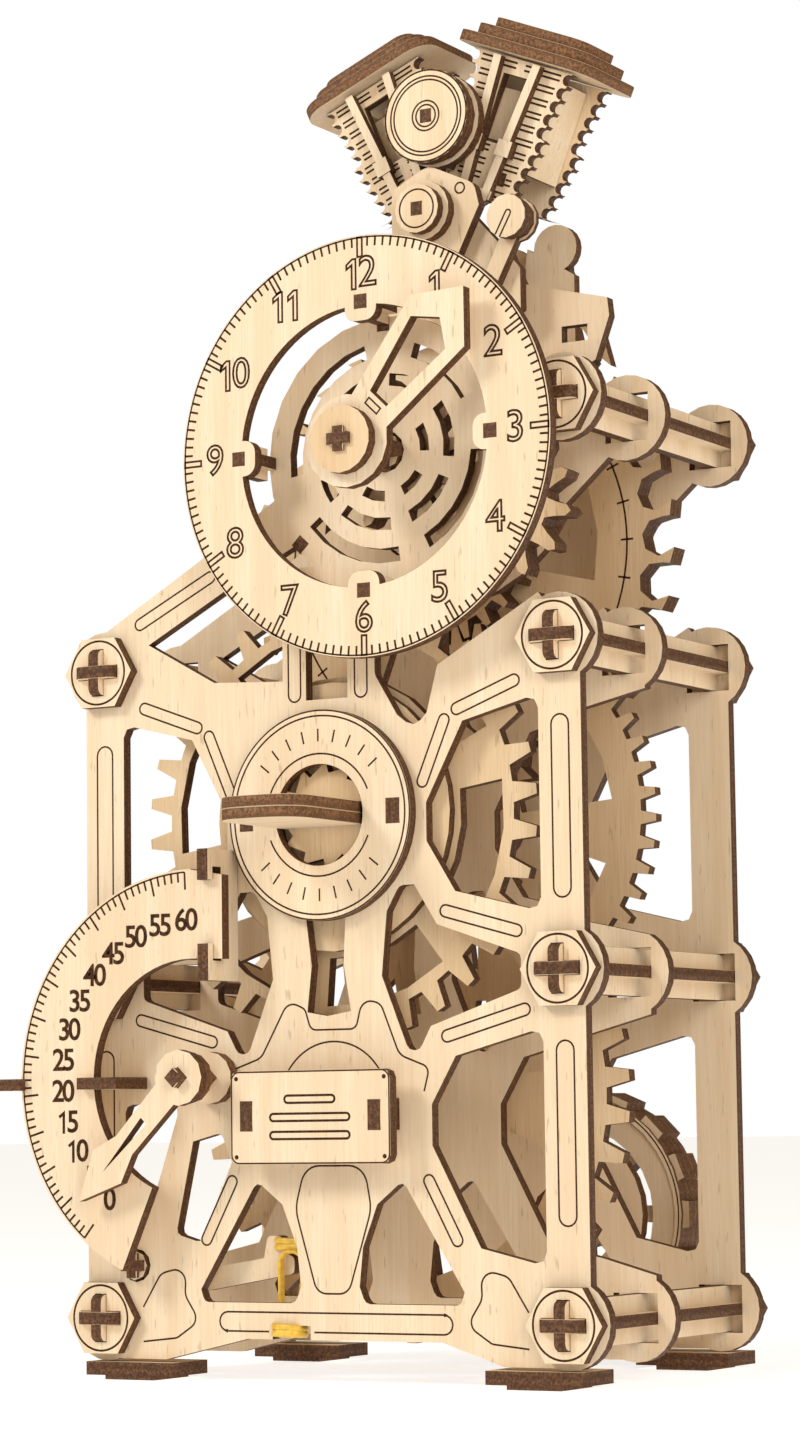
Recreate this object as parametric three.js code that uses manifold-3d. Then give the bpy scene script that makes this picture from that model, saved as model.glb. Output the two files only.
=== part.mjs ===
// A wooden mechanical table clock laser-cut from 3 mm plywood, with a V-twin engine on top.
// Drawing frame: +X right, +Y away from the viewer, +Z up, y = 0 on the front of the front nuts,
// z = 0 on the axis of the bottom columns, x = 0 midway between the columns. Millimetres.
import * as THREE from "three";
import { mergeVertices } from "three/addons/utils/BufferGeometryUtils.js";
import Module from "manifold-3d";

const wasm = await Module();
wasm.setup();

// ---- driving dimensions -------------------------------------------------------------------
const SHEET = 3;
const ORIGIN = { x: -5.6, y: 37.2, z: -14.6 };
const COLUMN_X = 63;
const FRONT_Y = 3;
const MID_Y = 36;
const BACK_Y = 81.6;
const TENON_HALF = 5.6;
const EAR_R = 10.3;
const COLUMNS = {
  r1: [COLUMN_X, 0],
  r2: [COLUMN_X, 80.2],
  r3: [COLUMN_X, 156.4],
  r4: [65, 212],
  l1: [-COLUMN_X, 0],
  l2: [-COLUMN_X, 80.2],
  l3: [-COLUMN_X, 156.4],
};
const HUB = [0, 118.3];
const DIAL = [17.8, 203.7];
const MINUTE = [-31, 57];
const LOW = [-1.2, 52.3];
const REAR = [11.1, 120.2];
const ESCAPE = [2.4, 187.6];
const PETAL = [46, 189.7];
const CRANK = [17.8, 251];
const V_HALF = THREE.MathUtils.degToRad(22.5);
const PENDULUM = [17.8, 22.4];
const PENDULUM_R = 31.4;
const LEVER = [-54.5, 12.5];
const HOUR_ANGLE = THREE.MathUtils.degToRad(44);
const MINUTE_ANGLE = THREE.MathUtils.degToRad(224.5);

const WOOD = {
  plate: "#e3cfa6",
  wheel: "#d8bd8c",
  engine: "#dfc79a",
  dark: "#7a4a26",
  band: "#e2b33c",
};

// ---- helpers ------------------------------------------------------------------------------
function solid(geometry) {
  geometry.deleteAttribute("normal");
  geometry.deleteAttribute("uv");
  const merged = mergeVertices(geometry, 1e-4);
  return new wasm.Manifold(new wasm.Mesh({
    numProp: 3,
    vertProperties: new Float32Array(merged.attributes.position.array),
    triVerts: new Uint32Array(merged.index.array),
  }));
}

function geometryOf(body) {
  const mesh = body.getMesh();
  const geometry = new THREE.BufferGeometry();
  geometry.setAttribute("position", new THREE.BufferAttribute(mesh.vertProperties, 3));
  geometry.setIndex(new THREE.BufferAttribute(mesh.triVerts, 1));
  geometry.computeVertexNormals();
  return geometry;
}

// A corner given as [x, z, radius] becomes a short arc of straight steps.
function rounded(points, steps = 2) {
  const out = [];
  points.forEach((point, i) => {
    const [x, z, r] = point;
    if (!r) {
      out.push(new THREE.Vector2(x, z));
      return;
    }
    const here = new THREE.Vector2(x, z);
    const before = points[(i + points.length - 1) % points.length];
    const after = points[(i + 1) % points.length];
    const a = new THREE.Vector2(before[0] - x, before[1] - z).normalize();
    const b = new THREE.Vector2(after[0] - x, after[1] - z).normalize();
    const half = Math.acos(THREE.MathUtils.clamp(a.dot(b), -1, 1)) / 2;
    const reach = r / Math.tan(half);
    const start = here.clone().addScaledVector(a, reach);
    const end = here.clone().addScaledVector(b, reach);
    const centre = here.clone().addScaledVector(a.clone().add(b).normalize(), r / Math.sin(half));
    const from = start.clone().sub(centre).angle();
    let sweep = end.clone().sub(centre).angle() - from;
    if (sweep > Math.PI) sweep -= 2 * Math.PI;
    if (sweep < -Math.PI) sweep += 2 * Math.PI;
    for (let k = 0; k <= steps; k += 1) {
      const t = from + (sweep * k) / steps;
      out.push(new THREE.Vector2(centre.x + r * Math.cos(t), centre.y + r * Math.sin(t)));
    }
  });
  return out;
}

function circle(x, z, r, n = 24, turn = 0) {
  const out = [];
  for (let k = 0; k < n; k += 1) {
    const t = turn + (2 * Math.PI * k) / n;
    out.push(new THREE.Vector2(x + r * Math.cos(t), z + r * Math.sin(t)));
  }
  return out;
}

function rect(x0, x1, z0, z1) {
  return rounded([[x0, z0], [x1, z0], [x1, z1], [x0, z1]]);
}

// A flat piece cut from sheet: an outline in x and z, from y0 to y1.
function slab(outline, y0, y1, holes = []) {
  const shape = new THREE.Shape(outline);
  holes.forEach((hole) => shape.holes.push(new THREE.Path(hole)));
  const options = { depth: y1 - y0, bevelEnabled: false, curveSegments: 1 };
  const geometry = new THREE.ExtrudeGeometry(shape, options);
  geometry.rotateX(Math.PI / 2);
  geometry.translate(0, y1, 0);
  return solid(geometry);
}

function box(x0, x1, y0, y1, z0, z1) {
  const geometry = new THREE.BoxGeometry(x1 - x0, y1 - y0, z1 - z0);
  geometry.translate((x0 + x1) / 2, (y0 + y1) / 2, (z0 + z1) / 2);
  return solid(geometry);
}

function rod([x, z], r, y0, y1, n = 16) {
  const geometry = new THREE.CylinderGeometry(r, r, y1 - y0, n);
  geometry.translate(x, (y0 + y1) / 2, z);
  return solid(geometry);
}

function union(bodies) {
  return bodies.reduce((sum, body) => sum.add(body));
}

// Points turned clockwise, seen from the front, about [cx, cz].
function turned(points, angle, [cx, cz]) {
  const pivot = new THREE.Vector2(cx, cz);
  return points.map((point) => point.clone().rotateAround(pivot, -angle));
}

function mirrored(points) {
  return points.map(([x, z, r]) => [-x, z, r]).reverse();
}

function plus(x, z, half, arm) {
  return rounded([
    [x - half, z - arm], [x - arm, z - arm], [x - arm, z - half], [x + arm, z - half],
    [x + arm, z - arm], [x + half, z - arm], [x + half, z + arm], [x + arm, z + arm],
    [x + arm, z + half], [x - arm, z + half], [x - arm, z + arm], [x - half, z + arm],
  ]);
}

// Straight-flanked teeth, one of them centred on the angle phase (anticlockwise from +X).
function gear([x, z], teeth, size, phase = 0, tipShare = 0.2, rootShare = 0.58) {
  const pitch = (teeth * size) / 2;
  const tip = pitch + 0.9 * size;
  const root = pitch - 1.15 * size;
  const step = (2 * Math.PI) / teeth;
  const out = [];
  for (let k = 0; k < teeth; k += 1) {
    const t = phase + k * step;
    const flank = [[-rootShare / 2, root], [-tipShare / 2, tip]];
    const corners = [...flank, [tipShare / 2, tip], [rootShare / 2, root]];
    corners.forEach(([share, r]) => {
      const a = t + share * step;
      out.push(new THREE.Vector2(x + r * Math.cos(a), z + r * Math.sin(a)));
    });
  }
  return out;
}

function angleTo(from, to) {
  return Math.atan2(to[1] - from[1], to[0] - from[0]);
}

// A ring sector window between two radii, for the openings between a wheel's spokes.
function sector([x, z], r0, r1, a0, a1, n = 3) {
  const out = [];
  for (let k = 0; k <= n; k += 1) {
    const t = a0 + ((a1 - a0) * k) / n;
    out.push(new THREE.Vector2(x + r1 * Math.cos(t), z + r1 * Math.sin(t)));
  }
  for (let k = n; k >= 0; k -= 1) {
    const t = a0 + ((a1 - a0) * k) / n;
    out.push(new THREE.Vector2(x + r0 * Math.cos(t), z + r0 * Math.sin(t)));
  }
  return out;
}

function spokeWindows(centre, r0, r1, count, share, phase = 0) {
  const step = (2 * Math.PI) / count;
  const out = [];
  for (let k = 0; k < count; k += 1) {
    const a = phase + k * step;
    out.push(sector(centre, r0, r1, a - (share * step) / 2, a + (share * step) / 2));
  }
  return out;
}

// ---- frame plates --------------------------------------------------------------------------
const LOW_WINDOW = [[57.5, 67, 2.5], [34.5, 61], [28, 50], [28, 40.5], [40.5, 17], [57.5, 13, 2.5]];
const MIDDLE_WINDOW = [
  [57.5, 143.5, 2.5], [37.5, 138.5], [27.5, 120], [27.5, 111], [35, 99], [57.5, 93.5, 2.5],
];
const LEG_WINDOW = [
  [16.5, 95], [20, 101, 2], [24, 101], [30, 91.5], [52, 84, 1.5], [52, 76, 1.5], [28, 68],
  [25, 62.5, 2], [22, 62.5, 2], [15, 80],
];
const FOOT_WINDOW = [[9.5, 4, 2], [8, 8], [9, 17], [13, 27], [20, 32.5, 1.5], [36, 7], [35, 4, 1.5]];
const LEFT_LOW_WINDOW = [[-57.5, 51, 2], [-41.5, 51, 2], [-46, 38], [-51, 24, 2], [-57.5, 21, 2]];
const LEFT_ARM_WINDOW = [[-38, 42], [-43, 20, 1.5], [-36, 18, 1.5], [-27, 37], [-30, 44, 1.5]];
const BASE = [
  [-23, -4.5], [30, -4.5], [46, -9.7], [63, -9.7], [68.5, 0], [68.5, 154], [58, 167], [31, 152],
  [28, 141], [24.5, 137.5, 3], [20, 141], [14, 151, 3], [14, 178], [-11.5, 178], [-11.5, 151],
  [-31, 152], [-58, 167], [-68.5, 154], [-68.5, 0], [-63, -9.7], [-46, -9.7],
];
const DISC_ARM = [[30, 222], [58, 219.5], [65, 221.8], [70, 205], [60, 203], [45, 190]];
const DIAGONAL = [[-63, 166.4], [-35, 182], [-8, 198], [-2, 186], [-28, 174], [-53, 161]];

function ears(y0, y1, names) {
  return names.map((name) => rod(COLUMNS[name], EAR_R, y0, y1, 24));
}

function plateBody(y0, windows, names) {
  const y1 = y0 + SHEET;
  let body = union([
    slab(rounded(BASE), y0, y1),
    slab(circle(DIAL[0], DIAL[1], 32.5, 26), y0, y1),
    slab(rounded(DISC_ARM), y0, y1),
    slab(rounded(DIAGONAL), y0, y1),
    ...ears(y0, y1, names),
  ]);
  windows.forEach((window) => {
    body = body.subtract(slab(window, y0 - 1, y1 + 1));
  });
  names.forEach((name) => {
    const [x, z] = COLUMNS[name];
    const half = TENON_HALF + 0.15;
    body = body.subtract(slab(rect(x - half, x + half, z - half, z + half), y0 - 1, y1 + 1));
  });
  return body;
}

const SLIT_WINDOW = rounded([[-5, 146], [6.5, 146], [6.5, 170], [-5, 170]]);
const LEG_SLOT = rounded([[-5.5, 72], [0, 71], [6.5, 72], [4.6, 83], [5.4, 97], [-6, 97], [-4.2, 83]]);

function arcSlots(centre) {
  const rad = THREE.MathUtils.degToRad;
  return [
    ...[[102, 188], [217, 278], [-64, -4], [27, 72]].map(([a, b]) => (
      sector(centre, 23.1, 26.6, rad(a), rad(b), Math.round((b - a) / 12)))),
    ...[[228, 274], [-68, -25], [-9, 35], [50, 86], [109, 135], [196, 215]].map(([a, b]) => (
      sector(centre, 15.8, 18.8, rad(a), rad(b), 3))),
    ...[[236, 268], [-65, -33], [-4, 30]].map(([a, b]) => sector(centre, 9.4, 11.9, rad(a), rad(b), 2)),
  ];
}

function frontPlate() {
  const windows = [
    rounded(LOW_WINDOW), rounded(MIDDLE_WINDOW), rounded(LEG_WINDOW), rounded(FOOT_WINDOW),
    rounded(mirrored(MIDDLE_WINDOW)), rounded(mirrored(LEG_WINDOW)), rounded(mirrored(FOOT_WINDOW)),
    rounded(LEFT_LOW_WINDOW), rounded(LEFT_ARM_WINDOW), SLIT_WINDOW, LEG_SLOT,
    circle(HUB[0], HUB[1], 13.6, 18), circle(DIAL[0], DIAL[1], 5, 12),
    circle(LEVER[0], LEVER[1], 4, 12), circle(MINUTE[0], MINUTE[1], 3.4, 12),
    circle(LOW[0], LOW[1], 3.4, 10),
    rect(-19.3, -15.6, 43.9, 51.6), rect(15.6, 19.3, 43.9, 51.6), rect(-16, -5.5, -4.6, -1.2),
    ...arcSlots(DIAL),
  ];
  return plateBody(FRONT_Y, windows, Object.keys(COLUMNS));
}

// The middle plate holds on to the side columns with horns instead of full side strips.
const SIDE_CUT = [[75, 72], [50, 65.5], [50, 15], [75, 8]];
const SIDE_CUT_UPPER = [[75, 148.5], [50, 143], [50, 93], [75, 87.5]];

function middlePlate() {
  const windows = [
    rounded(LOW_WINDOW), rounded(MIDDLE_WINDOW), rounded(LEG_WINDOW), rounded(FOOT_WINDOW),
    rounded(mirrored(LOW_WINDOW)), rounded(mirrored(MIDDLE_WINDOW)), rounded(mirrored(LEG_WINDOW)),
    rounded(mirrored(FOOT_WINDOW)), rounded(SIDE_CUT), rounded(SIDE_CUT_UPPER),
    rounded(mirrored(SIDE_CUT)), rounded(mirrored(SIDE_CUT_UPPER)), LEG_SLOT,
    circle(HUB[0], HUB[1], 4.4, 10), circle(LOW[0], LOW[1], 4.4, 10), circle(REAR[0], REAR[1], 3.4, 10),
    circle(ESCAPE[0], ESCAPE[1], 3.4, 10),
  ];
  const crest = rounded([
    [42, 220], [57, 227], [60.9, 237.4], [60.4, 241.8], [42.6, 246.4], [30, 250], [22, 228],
  ]);
  const slot = rounded([[48, 232], [55, 232], [55, 236], [48, 236]]);
  return plateBody(MID_Y, windows, Object.keys(COLUMNS))
    .add(slab(crest, MID_Y, MID_Y + SHEET))
    .subtract(slab(slot, MID_Y - 1, MID_Y + SHEET + 1));
}

function backPlate() {
  const windows = [
    rounded(LOW_WINDOW), rounded(MIDDLE_WINDOW), rounded(LEG_WINDOW), rounded(FOOT_WINDOW),
    rounded(mirrored(LOW_WINDOW)), rounded(mirrored(MIDDLE_WINDOW)), rounded(mirrored(LEG_WINDOW)),
    rounded(mirrored(FOOT_WINDOW)), LEG_SLOT, circle(LOW[0], LOW[1], 3.4, 10),
    circle(REAR[0], REAR[1], 3.4, 10), circle(ESCAPE[0], ESCAPE[1], 3.4, 10),
  ];
  const neck = rounded([[2, 225], [33.6, 225], [27, 252], [27, 266, 6], [8.6, 266, 6], [8.6, 252]]);
  return plateBody(BACK_Y, windows, Object.keys(COLUMNS))
    .add(slab(neck, BACK_Y, BACK_Y + SHEET))
    .subtract(rod([DIAL[0], 258], 3.4, BACK_Y - 1, BACK_Y + SHEET + 1, 10));
}

// ---- columns, nuts, feet ---------------------------------------------------------------------
// Two interlocked strips with a plus-shaped section, with the rear nut on them.
function column([x, z]) {
  const rear = BACK_Y + SHEET + 0.2;
  const stay = slab(plus(x, z, TENON_HALF, 1.5), -2.4, rear + SHEET + 2.4);
  return stay.add(slab(circle(x, z, 9.75, 6), rear, rear + SHEET));
}

function frontNut([x, z]) {
  return slab(circle(x, z, 9.75, 6), 0, 2.9, [plus(x, z, TENON_HALF + 0.2, 1.7).reverse()]);
}

function foot(side, y0) {
  const x = side * 55;
  const outline = rounded([
    [x - 12.5, -13.6], [x - 7, -13.6], [x - 7, -14.6], [x + 7, -14.6], [x + 7, -13.6], [x + 12.5, -13.6],
    [x + 12.5, -10.4], [x - 12.5, -10.4],
  ]);
  return slab(outline, y0, y0 + 15);
}

// ---- hour dial -------------------------------------------------------------------------------
const DIAL_FRONT = -8;
const PEG_R = 34.25;

// A square peg through the dial with a round spacer behind it.
function dialPost(quarter) {
  const a = (quarter * Math.PI) / 2;
  const x = DIAL[0] + PEG_R * Math.sin(a);
  const z = DIAL[1] + PEG_R * Math.cos(a);
  return union([
    box(x - 1.7, x + 1.7, DIAL_FRONT - 0.4, DIAL_FRONT + SHEET + 1, z - 1.7, z + 1.7),
    rod([x, z], 4, DIAL_FRONT + SHEET - 0.5, FRONT_Y - 0.15, 8),
  ]);
}

function dialRing() {
  const ring = slab(circle(DIAL[0], DIAL[1], 50, 48), DIAL_FRONT, DIAL_FRONT + SHEET,
    [circle(DIAL[0], DIAL[1], 33.5, 32).reverse()]);
  const tabs = [0, 1, 2, 3].map((k) => {
    const a = (k * Math.PI) / 2;
    const tab = rounded([
      [DIAL[0] - 4.3, DIAL[1] + 29.6, 3], [DIAL[0] + 4.3, DIAL[1] + 29.6, 3],
      [DIAL[0] + 4.3, DIAL[1] + 38], [DIAL[0] - 4.3, DIAL[1] + 38],
    ]);
    return slab(turned(tab, a, DIAL), DIAL_FRONT, DIAL_FRONT + SHEET);
  });
  return union([ring, ...tabs, ...[0, 1, 2, 3].map(dialPost)]);
}

function hourHand() {
  const cx = DIAL[0];
  const cz = DIAL[1];
  const outline = rounded([
    [cx - 7, cz - 6], [cx + 7, cz - 6], [cx + 6.2, cz + 8], [cx + 9.8, cz + 35.5],
    [cx, cz + 45.6], [cx - 9.8, cz + 35.5], [cx - 6.2, cz + 8],
  ]);
  const opening = rounded([
    [cx + 3, cz + 12.5], [cx + 6.3, cz + 32], [cx, cz + 36.5], [cx - 6.3, cz + 32], [cx - 3, cz + 12.5],
  ]);
  const body = slab(turned(outline, HOUR_ANGLE, DIAL), -15, -12).add(rod(DIAL, 11, -15, -12, 18));
  return body
    .subtract(slab(turned(opening, HOUR_ANGLE, DIAL), -16, -11))
    .subtract(slab(turned(plus(cx, cz, 3.1, 1.55), HOUR_ANGLE, DIAL), -16, -11));
}

// The round cap and the cross-shaped arbor, down to the wheel behind the front plate.
function hourArbor() {
  const cross = plus(DIAL[0], DIAL[1], 2.9, 1.35);
  const key = turned(cross, HOUR_ANGLE, DIAL);
  return union([
    rod(DIAL, 8, -18.2, -15.2, 18),
    slab(cross, -19.2, -18),
    slab(key, -15.6, -11),
    slab(plus(DIAL[0], DIAL[1], 4.8, 1.6), -11.8, 2.6),
    rod(DIAL, 4.5, 2, 17, 8),
    petalWheel(DIAL, angleTo(DIAL, PETAL), 7, 13),
  ]);
}

const PETALS = 12;

function petalWheel([x, z], phase, y0, y1) {
  const count = PETALS;
  const out = [];
  const step = (2 * Math.PI) / count;
  const profile = [
    [-0.36, 12.2], [-0.26, 14.6], [-0.2, 17.4], [0, 18.6], [0.2, 17.4], [0.26, 14.6], [0.36, 12.2],
  ];
  for (let k = 0; k < count; k += 1) {
    profile.forEach(([share, r]) => {
      const a = phase + k * step + (share * step * 12.4) / r;
      out.push(new THREE.Vector2(x + r * Math.cos(a), z + r * Math.sin(a)));
    });
  }
  return slab(out, y0, y1);
}

// ---- winding key -------------------------------------------------------------------------------
function keyDisk() {
  const outline = circle(HUB[0], HUB[1], 25, 36);
  return slab(outline, 0, SHEET - 0.3, [circle(HUB[0], HUB[1], 12, 20).reverse()]);
}

// A thick round-nosed thumb plate standing forward out of the disk's central hole.
function keyThumb() {
  const nose = rounded([[-11.3, 2.5], [-11.3, -30.2, 8], [11.3, -30.2, 8], [11.3, 2.5]], 6);
  const geometry = new THREE.ExtrudeGeometry(new THREE.Shape(nose), { depth: 5.4, bevelEnabled: false });
  geometry.translate(0, 0, 115.6);
  return solid(geometry);
}

function ratchet() {
  const teeth = 12;
  const out = [];
  for (let k = 0; k < teeth; k += 1) {
    const a = (2 * Math.PI * k) / teeth;
    out.push(new THREE.Vector2(HUB[0] + 12.9 * Math.cos(a), HUB[1] + 12.9 * Math.sin(a)));
    const b = a + (2 * Math.PI * 0.85) / teeth;
    out.push(new THREE.Vector2(HUB[0] + 10.2 * Math.cos(b), HUB[1] + 10.2 * Math.sin(b)));
  }
  return slab(out, 3.3, 5.9);
}

function greatWheel() {
  const outline = gear(HUB, 34, 3, angleTo(HUB, LOW), 0.24, 0.56);
  const windows = spokeWindows(HUB, 33.6, 45, 6, 0.72, 0.82).map((window) => window.reverse());
  return slab(outline, 9, 12, windows)
    .add(rod(HUB, 17.5, 11.5, 24, 16))
    .add(rod(HUB, 4, 23, 42, 8));
}

// A plain disc in front of the great wheel, turning with it.
function coverDisc() {
  return slab(circle(HUB[0], HUB[1], 32, 36), 6.3, 8.8);
}

// ---- minute arc ----------------------------------------------------------------------------------
const ARC_FRONT = -8;

function minuteArc() {
  const rad = THREE.MathUtils.degToRad;
  const outline = sector(MINUTE, 28.2, 49.5, rad(90), rad(246), 28);
  const end = rounded([[-31.5, 85.2], [-22.2, 84.9], [-22.2, 104.8], [-31.5, 106.4]]);
  return slab(outline, ARC_FRONT, ARC_FRONT + SHEET).add(slab(end, ARC_FRONT, ARC_FRONT + SHEET));
}

// Stands behind the arc and hooks round its outer and inner rims.
function arcSlat() {
  return union([
    box(-86.5, -51, -4.7, 2.7, 54.7, 57.5),
    box(-86.5, -80.9, -10.8, -4, 54.7, 57.5),
    box(-81.2, -79.2, -10.8, -8.3, 54.7, 57.5),
    box(-58.7, -51, -10.8, -4, 54.7, 57.5),
    box(-62.2, -58.4, -10.8, -8.3, 54.7, 57.5),
  ]);
}

// Stands behind the arc's top end and hooks round its upper and lower edges.
function arcBracket() {
  return union([
    box(-27.6, -24.6, -4.7, 2.7, 79.8, 111),
    box(-27.6, -24.6, -10.4, -4, 106.8, 111),
    box(-27.6, -24.6, -10.4, -8.3, 103.6, 107),
    box(-27.6, -24.6, -10.4, -4, 79.8, 84.5),
    box(-27.6, -24.6, -10.4, -8.3, 84.2, 88.5),
  ]);
}

function minuteHand() {
  const [cx, cz] = MINUTE;
  const outline = rounded([
    [cx - 3.6, cz], [cx + 3.6, cz], [cx + 3.2, cz + 22], [cx + 5.6, cz + 29], [cx, cz + 40.5],
    [cx - 5.6, cz + 29], [cx - 3.2, cz + 22],
  ]);
  const slit = rounded([[cx - 1.1, cz + 14], [cx + 1.1, cz + 14], [cx, cz + 31]]);
  return slab(turned(outline, MINUTE_ANGLE, MINUTE), -14, -11.3)
    .add(rod(MINUTE, 6.6, -14, -11.3, 12))
    .subtract(slab(turned(slit, MINUTE_ANGLE, MINUTE), -15, -10))
    .subtract(rod(MINUTE, 2.6, -15, -10, 4));
}

function minuteArbor() {
  return union([
    rod(MINUTE, 2.3, -16.3, 12, 4),
    rod(MINUTE, 6, -11.1, -8.4, 12),
    rod(MINUTE, 6.2, -0.6, 2.6, 14),
    rod(MINUTE, 3, 2, 12, 8),
  ]);
}

function plaque() {
  const outline = rounded([[-21.75, 36.5, 2], [21.75, 36.5, 2], [21.75, 58.3, 2], [-21.75, 58.3, 2]]);
  const tab = (x) => box(x - 1.6, x + 1.6, -3, 8, 44.2, 51.3);
  return union([slab(outline, -5.5, -2.5), tab(-17.45), tab(17.45)]);
}

// ---- lever and rubber band ---------------------------------------------------------------------------
function lever() {
  const arm = rounded([
    [-58, 6, 2.5], [-38, 6.4], [-13.5, 10.6, 1.2], [-13.5, 14.4, 1.2], [-16, 15.5], [-17, 19.5, 1.2],
    [-21, 19.5, 1.2], [-22, 14.2], [-38, 11.6], [-47, 14],
    [-50, 21, 3], [-59, 21, 3], [-63, 13, 3],
  ]);
  return union([
    slab(arm, 9, 12),
    rod(LEVER, 3.6, 2, 14, 8),
    slab(plus(LEVER[0], LEVER[1], 2.9, 1.3), 0.6, 3),
  ]);
}

// A stretched loop of flat rubber from the lever's end to a notch in the bottom bar.
function rubberBand() {
  const outer = rounded([[-17, -4.4, 2.5], [-9.4, -4.4, 2.5], [-9.4, 16.6, 2.5], [-17, 16.6, 2.5]]);
  const inner = rounded([[-15.6, -3, 1.4], [-10.8, -3, 1.4], [-10.8, 15.2, 1.4], [-15.6, 15.2, 1.4]]);
  return slab(outer, 6.4, 8.6, [inner.reverse()]);
}

// ---- going train ---------------------------------------------------------------------------------------
function lowWheel() {
  const pinion = gear(LOW, 10, 3, angleTo(LOW, HUB) + Math.PI / 10, 0.2, 0.5);
  const outline = gear(LOW, 38, 3, angleTo(LOW, REAR), 0.26, 0.56);
  const windows = spokeWindows(LOW, 14, 44, 4, 0.7, 0.7).map((window) => window.reverse());
  return union([
    slab(pinion, 8.4, 13.4),
    slab(outline, 44, 47, windows),
    rod(LOW, 4, 12, 45, 6),
    rod(LOW, 3, 3.5, 84, 6),
  ]);
}

function rearWheel() {
  const pinion = gear(REAR, 8, 3, angleTo(REAR, LOW) + Math.PI / 8, 0.2, 0.5);
  const outline = gear(REAR, 47, 2, angleTo(REAR, ESCAPE), 0.26, 0.56);
  const windows = spokeWindows(REAR, 12, 37, 5, 0.66, 0.5).map((window) => window.reverse());
  return union([
    slab(pinion, 43, 48),
    slab(outline, 58, 61, windows),
    rod(REAR, 4, 47, 59, 6),
    rod(REAR, 3, 36.5, 84, 6),
  ]);
}

// Hooked teeth: each gap is a round bite, and each tip leans clockwise.
function escapeWheel() {
  const teeth = 32;
  const step = (2 * Math.PI) / teeth;
  const out = [];
  for (let k = 0; k < teeth; k += 1) {
    const a = k * step;
    const centre = [ESCAPE[0] + 57 * Math.cos(a), ESCAPE[1] + 57 * Math.sin(a)];
    [-38, -95, -145, 170, 125, 80].forEach((local) => {
      const t = a + THREE.MathUtils.degToRad(local);
      out.push(new THREE.Vector2(centre[0] + 4.9 * Math.cos(t), centre[1] + 4.9 * Math.sin(t)));
    });
    const tip = a + 0.42 * step;
    out.push(new THREE.Vector2(ESCAPE[0] + 60 * Math.cos(tip), ESCAPE[1] + 60 * Math.sin(tip)));
  }
  const windows = spokeWindows(ESCAPE, 14, 40, 5, 0.7, 0.2).map((window) => window.reverse());
  const pinion = gear(ESCAPE, 21, 2, angleTo(ESCAPE, REAR) + Math.PI / 21, 0.22, 0.5);
  return union([
    slab(out, 64, 70, windows),
    slab(pinion, 57.4, 64.2),
    rod(ESCAPE, 3, 36.5, 84, 6),
  ]);
}

function anchor() {
  const [px, pz] = [DIAL[0], 258];
  const outline = rounded([
    [px - 3, pz + 6], [px + 3, pz + 6], [px + 12, pz], [px + 26, pz - 17], [px + 28.6, pz - 26.5],
    [px + 26.3, pz - 24.6], [px + 21, pz - 16.6], [px + 6, pz - 5], [px - 6, pz - 4], [px - 26, pz - 6.5],
    [px - 32, pz - 9.8], [px - 34, pz - 8], [px - 27, pz + 1], [px - 12, pz + 5],
  ]);
  return union([slab(outline, 65, 68), rod([px, pz], 3, 61, 92, 8), rod([px, pz], 5.5, 66, 72, 12)]);
}

function pendulumRod() {
  const [px] = PENDULUM;
  const shaft = rounded([
    [px - 5, 268, 4], [px + 5, 268, 4], [px + 5, 240], [px + 3.5, 200], [px + 3.5, 38], [px - 3.5, 38],
    [px - 3.5, 200], [px - 5, 240],
  ]);
  return slab(shaft, 88.6, 91.6)
    .subtract(rod([px, 258], 3.3, 88, 93, 10))
    .add(slab(circle(px, PENDULUM[1], 21, 28), 88.6, 91.6))
    .subtract(slab(circle(px, PENDULUM[1], 14, 20), 88, 93))
    .add(slab(rect(px - 1.8, px + 1.8, 5, 40), 88.6, 91.6))
    .add(rod([px, PENDULUM[1]], 5, 88.6, 104, 14));
}

function wheelSpokes(centre) {
  const blade = (k) => {
    const [x, z] = centre;
    const outline = rounded([
      [x - 1.6, z + 5.4], [x + 1.6, z + 5.4], [x + 2.2, z + 22.5], [x - 2.2, z + 22.5],
    ]);
    return slab(turned(outline, (k * Math.PI) / 4, centre), 96, 101);
  };
  return [0, 1, 2, 3, 4, 5, 6, 7].map(blade);
}

// Rim of the bob: a flat ring with eight blades round a hub ring.
function wheelRim() {
  const ring = slab(circle(...PENDULUM, 27.6, 32), 93.4, 103.6, [circle(...PENDULUM, 21.5, 24).reverse()]);
  const hub = slab(circle(...PENDULUM, 9, 12), 96, 101, [circle(...PENDULUM, 5.4, 10).reverse()]);
  return union([ring, hub, ...wheelSpokes(PENDULUM)]);
}

// Tyre of the bob: a laminated ring with blocks round its tread.
function tyre() {
  const ring = slab(circle(...PENDULUM, 29.8, 32), 92.4, 104.6, [circle(...PENDULUM, 28, 32).reverse()]);
  const blocks = [];
  const [x, z] = PENDULUM;
  for (let k = 0; k < 16; k += 1) {
    const block = rounded([
      [x - 3.4, z + 29], [x + 3.4, z + 29], [x + 3.2, z + PENDULUM_R], [x - 3.2, z + PENDULUM_R],
    ]);
    blocks.push(slab(turned(block, (2 * Math.PI * k) / 16, PENDULUM), 93.4, 103.6));
  }
  return union([ring, ...blocks]);
}

// ---- engine -------------------------------------------------------------------------------------------
// Cylinder pieces are drawn upright over the crank axis and leaned by their group.
const FIN_FRONT = 35;
const FIN_REAR = 53;
const FIN_BOTTOM = 21.5;
const FIN_TOP = 56.2;
const COVER_Y = 46;

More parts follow.
